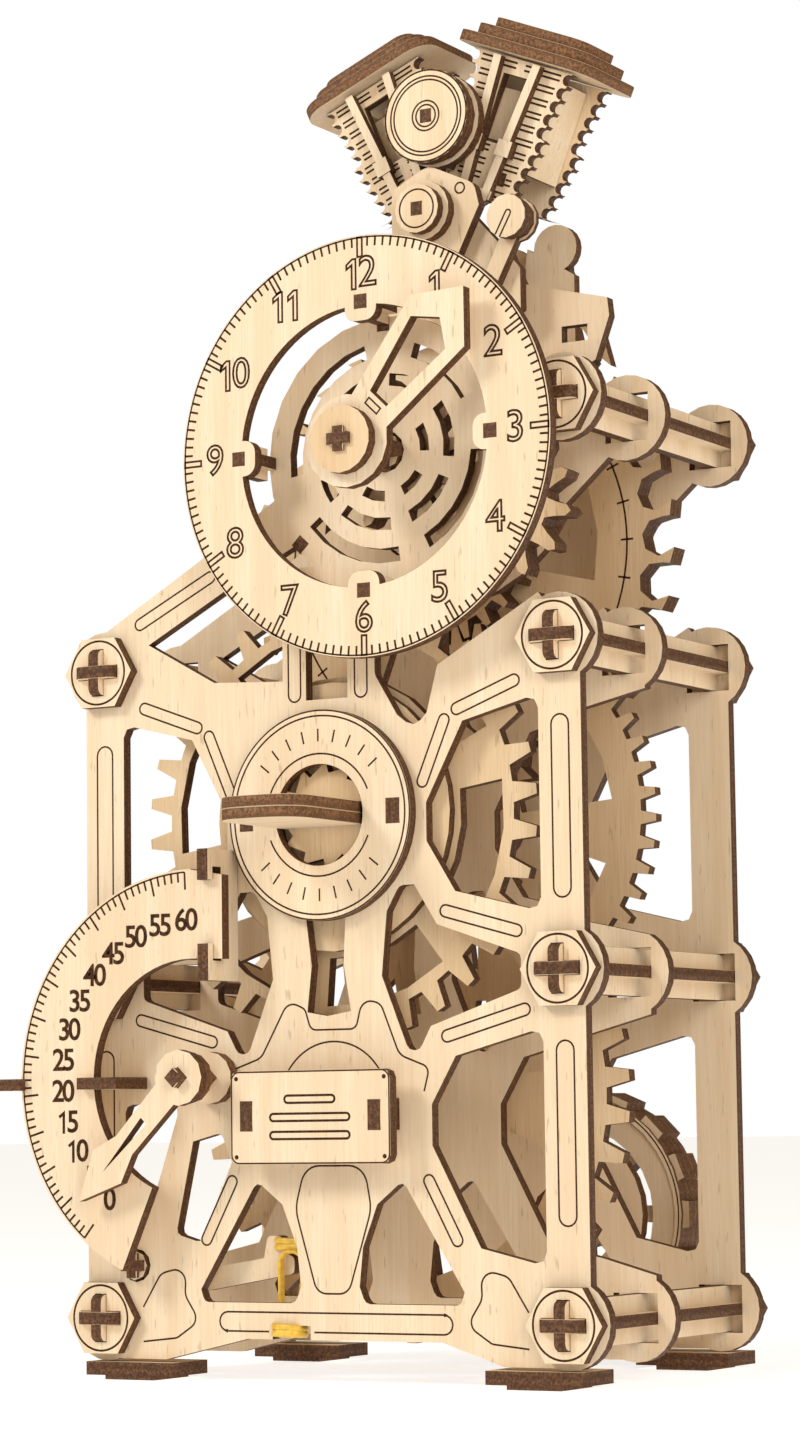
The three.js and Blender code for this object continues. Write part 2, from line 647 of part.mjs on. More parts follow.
function finPlate(y0) {
  const side = [];
  const count = 8;
  for (let k = 0; k < count; k += 1) {
    const z = FIN_BOTTOM + ((FIN_TOP - FIN_BOTTOM) * k) / count;
    const step = (FIN_TOP - FIN_BOTTOM) / count;
    const half = 8.4 + (k < 4 ? 0.95 * k : 1.9 + 0.6 * k);
    side.push([half - 1.2, z], [half, z + 0.4 * step], [half, z + 0.9 * step]);
  }
  const left = side.map(([x, z]) => [-x, z]).reverse();
  return slab(rounded([...side, ...left]), y0, y0 + SHEET, [rect(-4.2, 4.2, 35, 52).reverse()]);
}

function cylinder() {
  return union([
    finPlate(FIN_FRONT),
    finPlate(FIN_REAR),
    box(-9.6, -7.1, FIN_FRONT + 1, FIN_REAR + 1, 30, 54),
    box(7.1, 9.6, FIN_FRONT + 1, FIN_REAR + 1, 30, 54),
  ]);
}

function piston() {
  return union([
    box(-6.6, 6.6, 39, 52, 36, 49),
    slab(rect(-2.2, 2.2, 25, 40), 44, 47),
  ]);
}

function oval(halfLength, halfDepth, z0, z1) {
  const shape = new THREE.Shape(rounded([
    [-halfLength, -halfDepth, halfDepth * 0.42], [halfLength, -halfDepth, halfDepth * 0.42],
    [halfLength, halfDepth, halfDepth * 0.42], [-halfLength, halfDepth, halfDepth * 0.42],
  ], 3));
  const geometry = new THREE.ExtrudeGeometry(shape, { depth: z1 - z0, bevelEnabled: false });
  geometry.translate(0, COVER_Y, z0);
  return solid(geometry);
}

// Valve cover: three plates of falling size stacked across the cylinder's axis.
function valveCover() {
  return union([
    oval(19.5, 15.5, FIN_TOP + 0.4, FIN_TOP + 3.5),
    oval(16.5, 12.5, FIN_TOP + 3, FIN_TOP + 6.3),
    oval(13.5, 9.5, FIN_TOP + 6, FIN_TOP + 8.6),
  ]);
}

function pushRods() {
  const stick = (x, lean) => {
    const outline = rounded([
      [x - 1.1, 20.8], [x + 1.1, 20.8], [x + lean + 1.1, 55.6], [x + lean - 1.1, 55.6],
    ]);
    return slab(outline, 32.2, 34.4);
  };
  const collar = (x) => slab(rect(x - 2, x + 2, 32.2, 36.2), 31.9, 34.7);
  return union([
    stick(-3.2, -2.6), stick(3.2, 2.6), collar(-4.4), collar(4.4),
    slab(rect(-5, 5, 21.2, 23.4), 32.4, 34.2),
  ]);
}

function crankcaseFront() {
  const outline = rounded([
    [7.5, 262, 3], [7.5, 272.5, 3], [17.8, 277.5, 4], [30.5, 271.5, 3], [31.8, 266], [24.5, 252], [10, 252],
  ]);
  return slab(outline, 25, 28);
}

function crankcase() {
  const outline = rounded([
    [3, 238], [3, 256], [9, 266], [17.8, 270.5], [26.5, 266.5], [36, 256], [41, 250], [41, 240], [36, 236.5],
  ]);
  const inner = rounded([
    [5.5, 240], [5.5, 254], [10.5, 263], [17.8, 266], [25, 263], [36, 250], [36, 240],
  ]);
  return union([
    slab(outline, 28.4, 31.4),
    slab(inner, 30, 34.6),
    slab(rounded([[8, 252.5], [12, 262], [17.8, 264], [23.6, 262], [27.6, 252.5]]), 34, 58),
  ]);
}

function airFilter() {
  const [x, z] = [18.5, 289.4];
  return union([
    rod([x, z], 11.6, 23, 26, 24),
    rod([x, z], 10.6, 25.8, 28.9, 16),
    rod([x, z], 11.6, 28.7, 31.6, 24),
    rod([x, z], 5, 31, 34.6, 8),
  ]);
}

function timingCover() {
  const centre = [CRANK[0], 265.7];
  return union([rod(centre, 6, 19.1, 22, 16), rod(centre, 7.4, 21.8, 24.7, 18)]);
}

function oilFilter() {
  const centre = [41.3, 261.2];
  const arm = rounded([[39.1, 260.8], [32.6, 247.8], [36.1, 245.8], [43.1, 258.8]]);
  return union([
    rod(centre, 5.3, 21, 24, 14),
    rod(centre, 4.8, 23.8, 27, 10),
    rod(centre, 5.3, 26.8, 28.1, 14),
    slab(arm, 25.2, 28.1),
  ]);
}

// A round-headed exhaust lobe on the rear of the crankcase.
function exhaustLobe() {
  const lobe = circle(34.8, 261.2, 6, 20);
  const neck = rounded([[27, 262], [24, 240], [40, 236], [40, 254]]);
  return slab(lobe, 58.4, 61.2).add(slab(neck, 58.4, 61.2));
}

// ---- assembly --------------------------------------------------------------------------------------------
const clock = new THREE.Group();
clock.position.set(-ORIGIN.x, -ORIGIN.y, -ORIGIN.z);

function piece(parent, name, body, color, roughness = 0.72) {
  const material = new THREE.MeshStandardMaterial({ color, roughness, metalness: 0 });
  const mesh = new THREE.Mesh(geometryOf(body), material);
  mesh.name = name;
  parent.add(mesh);
}

function leaned(side) {
  const group = new THREE.Group();
  group.position.set(CRANK[0], 0, CRANK[1]);
  group.rotation.y = side * V_HALF;
  clock.add(group);
  return group;
}

piece(clock, "frame_front_plate", frontPlate(), WOOD.plate);
piece(clock, "frame_middle_plate", middlePlate(), WOOD.plate);
piece(clock, "frame_back_plate", backPlate(), WOOD.plate);
Object.entries(COLUMNS).forEach(([name, at]) => {
  piece(clock, `column_${name}`, column(at), WOOD.plate);
  piece(clock, `nut_${name}`, frontNut(at), WOOD.plate);
});
piece(clock, "foot_front_left", foot(-1, 0.4), WOOD.plate);
piece(clock, "foot_front_right", foot(1, 0.4), WOOD.plate);
piece(clock, "foot_rear_left", foot(-1, 76), WOOD.plate);
piece(clock, "foot_rear_right", foot(1, 76), WOOD.plate);
piece(clock, "dial_ring", dialRing(), WOOD.plate);
piece(clock, "hour_hand", hourHand(), WOOD.plate);
piece(clock, "hour_arbor", hourArbor(), WOOD.wheel);
piece(clock, "petal_wheel", petalWheel(PETAL, angleTo(PETAL, DIAL) + Math.PI / PETALS, 8, 14)
  .add(rod(PETAL, 3, 6.4, 35.6, 10)), WOOD.wheel);
piece(clock, "key_disk", keyDisk(), WOOD.plate);
piece(clock, "key_thumb", keyThumb(), WOOD.dark);
piece(clock, "key_ratchet", ratchet(), WOOD.wheel);
piece(clock, "great_wheel", greatWheel(), WOOD.wheel);
piece(clock, "cover_disc", coverDisc(), WOOD.plate);
piece(clock, "minute_arc", minuteArc(), WOOD.plate);
piece(clock, "arc_slat", arcSlat(), WOOD.wheel);
piece(clock, "arc_bracket", arcBracket(), WOOD.wheel);
piece(clock, "minute_hand", minuteHand(), WOOD.plate);
piece(clock, "minute_arbor", minuteArbor(), WOOD.wheel);
piece(clock, "plaque", plaque(), WOOD.plate);
piece(clock, "lever", lever(), WOOD.plate);
piece(clock, "rubber_band", rubberBand(), WOOD.band, 0.5);
piece(clock, "low_wheel", lowWheel(), WOOD.wheel);
piece(clock, "rear_wheel", rearWheel(), WOOD.wheel);
piece(clock, "escape_wheel", escapeWheel(), WOOD.wheel);
piece(clock, "anchor", anchor(), WOOD.wheel);
piece(clock, "pendulum_rod", pendulumRod(), WOOD.plate);
piece(clock, "pendulum_rim", wheelRim(), WOOD.plate);
piece(clock, "pendulum_tyre", tyre(), WOOD.dark);
piece(clock, "crankcase_front", crankcaseFront(), WOOD.engine);
piece(clock, "crankcase", crankcase(), WOOD.engine);
piece(clock, "air_filter", airFilter(), WOOD.plate);
piece(clock, "timing_cover", timingCover(), WOOD.plate);
piece(clock, "oil_filter", oilFilter(), WOOD.plate);
piece(clock, "exhaust_lobe", exhaustLobe(), WOOD.engine);
[["left", -1], ["right", 1]].forEach(([name, side]) => {
  const group = leaned(side);
  piece(group, `cylinder_${name}`, cylinder(), WOOD.engine);
  piece(group, `piston_${name}`, piston(), WOOD.engine);
  piece(group, `valve_cover_${name}`, valveCover(), WOOD.dark);
  piece(group, `push_rods_${name}`, pushRods(), WOOD.plate);
});

export default clock;
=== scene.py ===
"""Looks of a laser-cut plywood table clock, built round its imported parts.

The drawings below are in millimetres: x to the right and z up from the point midway between the two
bottom columns, y backwards from the front of the front nuts. Datum turns them into the row frame in
metres.
"""
import logging
import math
from dataclasses import dataclass, field
from enum import Enum
from typing import Sequence

import bmesh
import bpy
from mathutils import Matrix, Vector


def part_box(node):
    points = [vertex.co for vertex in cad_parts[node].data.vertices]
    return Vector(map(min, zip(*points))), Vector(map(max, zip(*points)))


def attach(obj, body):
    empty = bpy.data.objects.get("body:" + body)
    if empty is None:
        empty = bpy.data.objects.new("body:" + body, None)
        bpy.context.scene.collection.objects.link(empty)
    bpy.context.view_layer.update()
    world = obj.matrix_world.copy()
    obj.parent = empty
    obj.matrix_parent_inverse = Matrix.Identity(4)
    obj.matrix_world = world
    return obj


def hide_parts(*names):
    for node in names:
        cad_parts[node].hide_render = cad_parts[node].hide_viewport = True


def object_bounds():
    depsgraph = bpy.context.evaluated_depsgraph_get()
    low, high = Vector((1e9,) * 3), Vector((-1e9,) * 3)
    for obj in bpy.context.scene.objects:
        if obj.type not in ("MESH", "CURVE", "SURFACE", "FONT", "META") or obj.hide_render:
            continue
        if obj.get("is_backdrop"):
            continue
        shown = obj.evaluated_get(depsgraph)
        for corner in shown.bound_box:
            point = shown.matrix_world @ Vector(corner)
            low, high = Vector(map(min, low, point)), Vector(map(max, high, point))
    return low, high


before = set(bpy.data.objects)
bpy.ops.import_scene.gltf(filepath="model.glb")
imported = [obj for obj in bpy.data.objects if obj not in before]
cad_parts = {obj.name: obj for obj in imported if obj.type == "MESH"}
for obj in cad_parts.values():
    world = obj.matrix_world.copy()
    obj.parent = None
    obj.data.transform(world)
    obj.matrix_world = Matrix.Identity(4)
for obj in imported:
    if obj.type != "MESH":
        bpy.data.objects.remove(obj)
CAD_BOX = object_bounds()

LOG = logging.getLogger("clock")
MM = 0.001
Point = tuple[float, float]
Corner = tuple[float, float, float]

# ---- drawing dimensions, mm -------------------------------------------------------------------
SHEET = 3.0
COLUMN_X = 63.0
FRONT_FACE = 3.0
BACK_FACE = 84.6
NUT_FACE = 0.0
DIAL_FACE = -8.0
KEY_FACE = 0.0
ARC_FACE = -8.0
PLAQUE_FACE = -5.5
HAND_FACE = -15.0
HUB: Point = (0.0, 118.3)
DIAL: Point = (17.8, 203.7)
MINUTE: Point = (-31.0, 57.0)
ESCAPE: Point = (2.4, 187.6)
LEVER: Point = (-54.5, 12.5)
CRANK: Point = (17.8, 251.0)
AIR_FILTER: Point = (18.5, 289.4)
TIMING: Point = (17.8, 265.7)
BOB: Point = (17.8, 22.4)
COLUMNS: dict[str, Point] = {
    "r1": (COLUMN_X, 0.0), "r2": (COLUMN_X, 80.2), "r3": (COLUMN_X, 156.4), "r4": (65.0, 212.0),
    "l1": (-COLUMN_X, 0.0), "l2": (-COLUMN_X, 80.2), "l3": (-COLUMN_X, 156.4),
}
HOUR_TURN = 44.0
LEAN = 22.5
PEG_PROUD = 0.12
PEG_DEPTH = 0.5
FIGURE_SHARE = 0.70
LINE_DEPTH_M = 0.00009


class Plane(Enum):
    """The plane a flat piece is cut in, named by the axis that its faces look along."""

    FRONT = "y"
    SIDE = "x"
    FLAT = "z"


class Face(Enum):
    """Which side of a sheet an engraving is on."""

    FRONT = -1
    REAR = 1


@dataclass(frozen=True)
class Datum:
    """The row-frame place of the drawing's zero, in metres."""

    x: float
    y: float
    z: float

    @classmethod
    def from_nuts(cls) -> "Datum":
        """Find the drawing's zero from the two bottom nuts.

        Returns:
            The datum in the row frame.
        """
        left_low, left_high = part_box("nut_l1")
        right_low, right_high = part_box("nut_r1")
        middle = (left_low.x + left_high.x + right_low.x + right_high.x) / 4
        return cls(middle, right_low.y, (right_low.z + right_high.z) / 2)

    def at(self, x: float, y: float, z: float) -> Vector:
        """Turn a drawing point in mm into the row frame.

        Args:
            x: To the right, mm.
            y: Backwards, mm.
            z: Up, mm.

        Returns:
            The point in metres.
        """
        return Vector((self.x + x * MM, self.y + y * MM, self.z + z * MM))


DATUM = Datum.from_nuts()


# ---- plane geometry ---------------------------------------------------------------------------
def ring(centre: Point, radius: float, count: int = 64) -> list[Point]:
    """Points round a circle.

    Args:
        centre: The circle's centre.
        radius: Its radius.
        count: How many points.

    Returns:
        The points, anticlockwise.
    """
    return arc(centre, radius, 0.0, 360.0 * (count - 1) / count, count - 1)


def arc(centre: Point, radius: float, start: float, end: float, steps: int = 24) -> list[Point]:
    """Points along an arc.

    Args:
        centre: The arc's centre.
        radius: Its radius.
        start: First angle in degrees, anticlockwise from +x.
        end: Last angle in degrees.
        steps: How many stretches it is cut into.

    Returns:
        The points in order.
    """
    turns = [math.radians(start + (end - start) * k / steps) for k in range(steps + 1)]
    return [(centre[0] + radius * math.cos(t), centre[1] + radius * math.sin(t)) for t in turns]


def turned(points: Sequence[Point], degrees: float, about: Point) -> list[Point]:
    """Turn points clockwise as seen from the front.

    Args:
        points: The points to turn.
        degrees: The angle.
        about: The pivot.

    Returns:
        The turned points.
    """
    c, s = math.cos(math.radians(degrees)), math.sin(math.radians(degrees))
    out = []
    for x, z in points:
        u, v = x - about[0], z - about[1]
        out.append((about[0] + u * c + v * s, about[1] - u * s + v * c))
    return out


def mirrored(points: Sequence[Point]) -> list[Point]:
    """Mirror points left to right."""
    return [(-x, z) for x, z in reversed(points)]


def rectangle(low: Point, high: Point) -> list[Point]:
    """A rectangle's corners, anticlockwise from the lower left."""
    return [low, (high[0], low[1]), high, (low[0], high[1])]


def soft_rectangle(low: Point, high: Point, radius: float, steps: int = 6) -> list[Point]:
    """A rectangle with rounded corners, all alike."""
    return smooth([(x, z, radius) for x, z in rectangle(low, high)], steps)


def stadium(start: Point, end: Point, width: float) -> list[Point]:
    """A slot with round ends.

    Args:
        start: One end's centre.
        end: The other end's centre.
        width: The slot's width.

    Returns:
        The closed outline.
    """
    along = math.degrees(math.atan2(end[1] - start[1], end[0] - start[0]))
    far = arc(end, width / 2, along - 90, along + 90, 8)
    near = arc(start, width / 2, along + 90, along + 270, 8)
    return far + near


def smooth(corners: Sequence[Corner], steps: int = 6) -> list[Point]:
    """Round a polygon's corners.

    Args:
        corners: Each corner as x, z and its radius.
        steps: Stretches in each rounded corner.

    Returns:
        The closed outline.
    """
    out: list[Point] = []
    count = len(corners)
    for k, (x, z, radius) in enumerate(corners):
        here = Vector((x, z))
        before = (Vector(corners[k - 1][:2]) - here).normalized()
        after = (Vector(corners[(k + 1) % count][:2]) - here).normalized()
        half = math.acos(max(-1.0, min(1.0, before.dot(after)))) / 2
        if radius <= 0 or half > math.radians(89):
            out.append((x, z))
            continue
        reach = radius / math.tan(half)
        middle = here + (before + after).normalized() * (radius / math.sin(half))
        first = here + before * reach - middle
        last = here + after * reach - middle
        a0 = math.atan2(first.y, first.x)
        sweep = (math.atan2(last.y, last.x) - a0 + math.pi) % (2 * math.pi) - math.pi
        for i in range(steps + 1):
            t = a0 + sweep * i / steps
            out.append((middle.x + radius * math.cos(t), middle.y + radius * math.sin(t)))
    return out


# ---- finishes ---------------------------------------------------------------------------------
def start_material(name: str) -> tuple[bpy.types.Material, bpy.types.NodeTree, bpy.types.Node]:
    """Start a node material.

    Args:
        name: Its name.

    Returns:
        The material, its tree and its shader.
    """
    material = bpy.data.materials.new(name)
    material.use_nodes = True
    return material, material.node_tree, material.node_tree.nodes["Principled BSDF"]


def add_bump(tree, shader, height, strength: float, distance: float) -> None:
    """Roughen a shader's surface.

    Args:
        tree: The node tree.
        shader: The shader.
        height: The socket with the height.
        strength: The bump's strength.
        distance: The bump's depth, metres.
    """
    bump = tree.nodes.new("ShaderNodeBump")
    bump.inputs["Strength"].default_value = strength
    bump.inputs["Distance"].default_value = distance
    tree.links.new(height, bump.inputs["Height"])
    tree.links.new(bump.outputs["Normal"], shader.inputs["Normal"])


def place_group(tree, group, values: dict[str, object]) -> bpy.types.Node:
    """Place a shared group with its own values.

    Args:
        tree: The material's tree.
        group: The group.
        values: Input name to value.

    Returns:
        The group's node.
    """
    node = tree.nodes.new("ShaderNodeGroup")
    node.node_tree = group
    for label, value in values.items():
        node.inputs[label].default_value = value
    return node


class Groups:
    """Shader node groups that several finishes share."""

    def __init__(self) -> None:
        """Build every group once."""
        self.edge = self._edge_mask()
        self.grain = self._birch_grain()
        self.layers = self._ply_layers()
        self.scorch = self._scorch()

    @staticmethod
    def _start(name: str, inputs: Sequence[tuple[str, str, object]],
               outputs: Sequence[tuple[str, str]]):
        """Open a group with named sockets.

        Args:
            name: The group's name.
            inputs: Name, socket type and default of each input.
            outputs: Name and socket type of each output.

        Returns:
            The tree, its input node and its output node.
        """
        tree = bpy.data.node_groups.new(name, "ShaderNodeTree")
        for label, kind, default in inputs:
            socket = tree.interface.new_socket(name=label, in_out="INPUT", socket_type=kind)
            socket.default_value = default
        for label, kind in outputs:
            tree.interface.new_socket(name=label, in_out="OUTPUT", socket_type=kind)
        return tree, tree.nodes.new("NodeGroupInput"), tree.nodes.new("NodeGroupOutput")

    @staticmethod
    def _range(tree, source, low: float, high: float, to_low: float = 0.0, to_high: float = 1.0):
        """Map a value smoothly between two limits.

        Args:
            tree: The node tree.
            source: The socket to read.
            low: Value mapped to to_low.
            high: Value mapped to to_high.
            to_low: Result at low.
            to_high: Result at high.

        Returns:
            The result socket.
        """
        node = tree.nodes.new("ShaderNodeMapRange")
        node.interpolation_type = "SMOOTHSTEP"
        tree.links.new(source, node.inputs["Value"])
        for label, value in (("From Min", low), ("From Max", high),
                             ("To Min", to_low), ("To Max", to_high)):
            node.inputs[label].default_value = value
        return node.outputs["Result"]

    @staticmethod
    def _vector(tree, operation: str, first, second):
        """Place a vector operation on two sockets.

        Args:
            tree: The node tree.
            operation: ADD, MULTIPLY or DOT_PRODUCT.
            first: One socket.
            second: The other socket.

        Returns:
            The node.
        """
        node = tree.nodes.new("ShaderNodeVectorMath")
        node.operation = operation
        tree.links.new(first, node.inputs[0])
        tree.links.new(second, node.inputs[1])
        return node

    def _edge_mask(self):
        """1 on a sheet's laser-cut edge and 0 on its two faces.

        Returns:
            The group.
        """
        tree, start, end = self._start(
            "sheet_edge_mask", [("Sheet Normal", "NodeSocketVector", (0, 1, 0))],
            [("Edge", "NodeSocketFloat")])
        place = tree.nodes.new("ShaderNodeTexCoord")
        dot = self._vector(
            tree, "DOT_PRODUCT", place.outputs["Normal"], start.outputs["Sheet Normal"])
        size = tree.nodes.new("ShaderNodeMath")
        size.operation = "ABSOLUTE"
        tree.links.new(dot.outputs["Value"], size.inputs[0])
        tree.links.new(self._range(tree, size.outputs[0], 0.55, 0.8, 1.0, 0.0), end.inputs["Edge"])
        return tree

    def _birch_grain(self):
        """Fine fibres along the sheet, slow colour drift and short flecks.

        Returns:
            The group.
        """
        tree, start, end = self._start(
            "birch_grain",
            [("Fibre Scale", "NodeSocketVector", (2300, 2300, 70)),
             ("Offset", "NodeSocketVector", (0, 0, 0))],
            [(label, "NodeSocketFloat") for label in ("Fibre", "Drift", "Fleck")])
        place = tree.nodes.new("ShaderNodeTexCoord")
        shift = self._vector(tree, "ADD", place.outputs["Object"], start.outputs["Offset"])
        stretch = self._vector(tree, "MULTIPLY", shift.outputs[0], start.outputs["Fibre Scale"])
        fibre = self._noise(tree, stretch.outputs[0], 1.0, 5.0, 0.6)
        tree.links.new(self._range(tree, fibre, 0.3, 0.72), end.inputs["Fibre"])
        drift = self._noise(tree, stretch.outputs[0], 0.06, 3.0, 0.5)
        tree.links.new(self._range(tree, drift, 0.3, 0.7), end.inputs["Drift"])
        short = tree.nodes.new("ShaderNodeVectorMath")
        short.operation = "MULTIPLY"
        short.inputs[1].default_value = (1.0, 1.0, 5.0)
        tree.links.new(stretch.outputs[0], short.inputs[0])
        fleck = self._noise(tree, short.outputs[0], 0.55, 1.0, 0.3)
        tree.links.new(self._range(tree, fleck, 0.68, 0.78), end.inputs["Fleck"])
        return tree

    @staticmethod
    def _noise(tree, vector, scale: float, detail: float, roughness: float):
        """Place a noise texture.

        Args:
            tree: The node tree.
            vector: The socket with the place.
            scale: Its scale.
            detail: Its detail.
            roughness: Its roughness.

        Returns:
            The value socket.
        """
        node = tree.nodes.new("ShaderNodeTexNoise")
        tree.links.new(vector, node.inputs["Vector"])
        node.inputs["Scale"].default_value = scale
        node.inputs["Detail"].default_value = detail
        node.inputs["Roughness"].default_value = roughness
        return node.outputs["Fac"]

    def _ply_layers(self):
        """Thin veneers seen on an edge, as bands along the sheet's normal.

        Returns:
            The group.
        """
        tree, start, end = self._start(
            "ply_layers",
            [("Sheet Normal", "NodeSocketVector", (0, 1, 0)), ("Veneer", "NodeSocketFloat", 0.001)],
            [("Layers", "NodeSocketFloat")])
        place = tree.nodes.new("ShaderNodeTexCoord")
        dot = self._vector(
            tree, "DOT_PRODUCT", place.outputs["Object"], start.outputs["Sheet Normal"])
        count = tree.nodes.new("ShaderNodeMath")
        count.operation = "DIVIDE"
        tree.links.new(dot.outputs["Value"], count.inputs[0])
        tree.links.new(start.outputs["Veneer"], count.inputs[1])
        wave = tree.nodes.new("ShaderNodeMath")
        wave.operation = "PINGPONG"
        wave.inputs[1].default_value = 1.0
        tree.links.new(count.outputs[0], wave.inputs[0])
        tree.links.new(self._range(tree, wave.outputs[0], 0.15, 0.85), end.inputs["Layers"])
        return tree

    def _scorch(self):
        """Uneven laser burn, darker in streaks across the veneers.

        Returns:
            The group.
        """
        tree, start, end = self._start(
            "laser_scorch", [("Scale", "NodeSocketFloat", 900.0)], [("Scorch", "NodeSocketFloat")])
        place = tree.nodes.new("ShaderNodeTexCoord")
        node = tree.nodes.new("ShaderNodeTexNoise")
        tree.links.new(place.outputs["Object"], node.inputs["Vector"])
        tree.links.new(start.outputs["Scale"], node.inputs["Scale"])
        node.inputs["Detail"].default_value = 4.0
        tree.links.new(self._range(tree, node.outputs["Fac"], 0.34, 0.68), end.inputs["Scorch"])
        return tree


@dataclass(frozen=True)
class Birch:
    """Bare birch plywood: pale grained faces and burnt, layered edges.

    Colours are linear RGB.
    """

    name: str
    pale: tuple[float, float, float] = (0.86, 0.715, 0.515)
    warm: tuple[float, float, float] = (0.73, 0.525, 0.315)
    burnt: tuple[float, float, float] = (0.060, 0.024, 0.010)
    toasted: tuple[float, float, float] = (0.19, 0.085, 0.032)
    veneer: float = 0.001
    normal: tuple[float, float, float] = (0.0, 1.0, 0.0)
    fibre: tuple[float, float, float] = (2300.0, 2300.0, 70.0)
    offset: tuple[float, float, float] = (0.0, 0.0, 0.0)

    def make(self, groups: Groups) -> bpy.types.Material:
        """Build the material.

        Args:
            groups: The shared node groups.

        Returns:
            The material.
        """
        material, tree, shader = start_material(self.name)
        edge = place_group(tree, groups.edge, {"Sheet Normal": self.normal})
        grain = place_group(tree, groups.grain, {"Fibre Scale": self.fibre, "Offset": self.offset})
        layers = place_group(
            tree, groups.layers, {"Sheet Normal": self.normal, "Veneer": self.veneer})
        scorch = place_group(tree, groups.scorch, {"Scale": 1500.0})
        drifted = mix_colours(tree, grain.outputs["Drift"], self.pale, self.warm, 0.5)
        fibred = mix_colours(tree, grain.outputs["Fibre"], drifted, self.warm, 0.5)
        flecked = mix_colours(tree, grain.outputs["Fleck"], fibred, self.toasted, 0.3)
        charred = mix_colours(tree, scorch.outputs["Scorch"], self.burnt, self.toasted, 0.9)
        layered = mix_colours(tree, layers.outputs["Layers"], charred, self.burnt, 0.5)
        final = mix_colours(tree, edge.outputs["Edge"], flecked, layered, 1.0)
        tree.links.new(final, shader.inputs["Base Color"])
        rough = tree.nodes.new("ShaderNodeMapRange")
        rough.inputs["To Min"].default_value = 0.58
        rough.inputs["To Max"].default_value = 0.74
        tree.links.new(grain.outputs["Fibre"], rough.inputs["Value"])
        tree.links.new(rough.outputs["Result"], shader.inputs["Roughness"])
        height = tree.nodes.new("ShaderNodeMix")
        height.data_type = "FLOAT"
        tree.links.new(edge.outputs["Edge"], height.inputs["Factor"])
        tree.links.new(grain.outputs["Fibre"], height.inputs["A"])
        tree.links.new(layers.outputs["Layers"], height.inputs["B"])
        add_bump(tree, shader, height.outputs["Result"], 0.25, 0.00008)
        shader.inputs["Specular IOR Level"].default_value = 0.3
        return material


def mix_colours(tree, factor, first, second, share: float):
    """Mix two colours by a mask.

    Args:
        tree: The node tree.
        factor: The mask's socket.
        first: A colour or a colour socket, where the mask is 0.
        second: A colour or a colour socket, where the mask is 1.
        share: How far a full mask goes towards the second colour.

    Returns:
        The colour socket.
    """
    scaled = tree.nodes.new("ShaderNodeMath")
    scaled.operation = "MULTIPLY"
    scaled.inputs[1].default_value = share
    tree.links.new(factor, scaled.inputs[0])
    node = tree.nodes.new("ShaderNodeMix")
    node.data_type = "RGBA"
    tree.links.new(scaled.outputs[0], node.inputs["Factor"])
    sockets = [s for s in node.inputs if s.type == "RGBA"]
    for socket, value in zip(sockets, (first, second)):
        if isinstance(value, tuple):
            socket.default_value = (*value, 1.0)
        else:
            tree.links.new(value, socket)
    return next(s for s in node.outputs if s.type == "RGBA")


@dataclass(frozen=True)
class Engraved:
    """A line burnt into a face by the laser."""

    name: str = "engraved_line"
    dark: tuple[float, float, float] = (0.030, 0.012, 0.005)
    light: tuple[float, float, float] = (0.085, 0.036, 0.014)

    def make(self, groups: Groups) -> bpy.types.Material:
        """Build the material.

        Args:
            groups: The shared node groups.

        Returns:
            The material.
        """
        material, tree, shader = start_material(self.name)
        scorch = place_group(tree, groups.scorch, {"Scale": 1600.0})
        colour = mix_colours(tree, scorch.outputs["Scorch"], self.dark, self.light, 1.0)
        tree.links.new(colour, shader.inputs["Base Color"])
        shader.inputs["Roughness"].default_value = 0.85
        shader.inputs["Specular IOR Level"].default_value = 0.15
        return material


@dataclass(frozen=True)
class Latex:
    """A yellow latex band with a slightly powdery skin."""

    name: str = "latex_band"
    bright: tuple[float, float, float] = (0.85, 0.55, 0.06)
    deep: tuple[float, float, float] = (0.62, 0.34, 0.03)

    def make(self, groups: Groups) -> bpy.types.Material:
        """Build the material.

        Args:
            groups: The shared node groups.

        Returns:
            The material.
        """
        material, tree, shader = start_material(self.name)
        scorch = place_group(tree, groups.scorch, {"Scale": 700.0})
        colour = mix_colours(tree, scorch.outputs["Scorch"], self.bright, self.deep, 0.7)
        tree.links.new(colour, shader.inputs["Base Color"])
        add_bump(tree, shader, scorch.outputs["Scorch"], 0.2, 0.00005)
        shader.inputs["Roughness"].default_value = 0.42
        return material


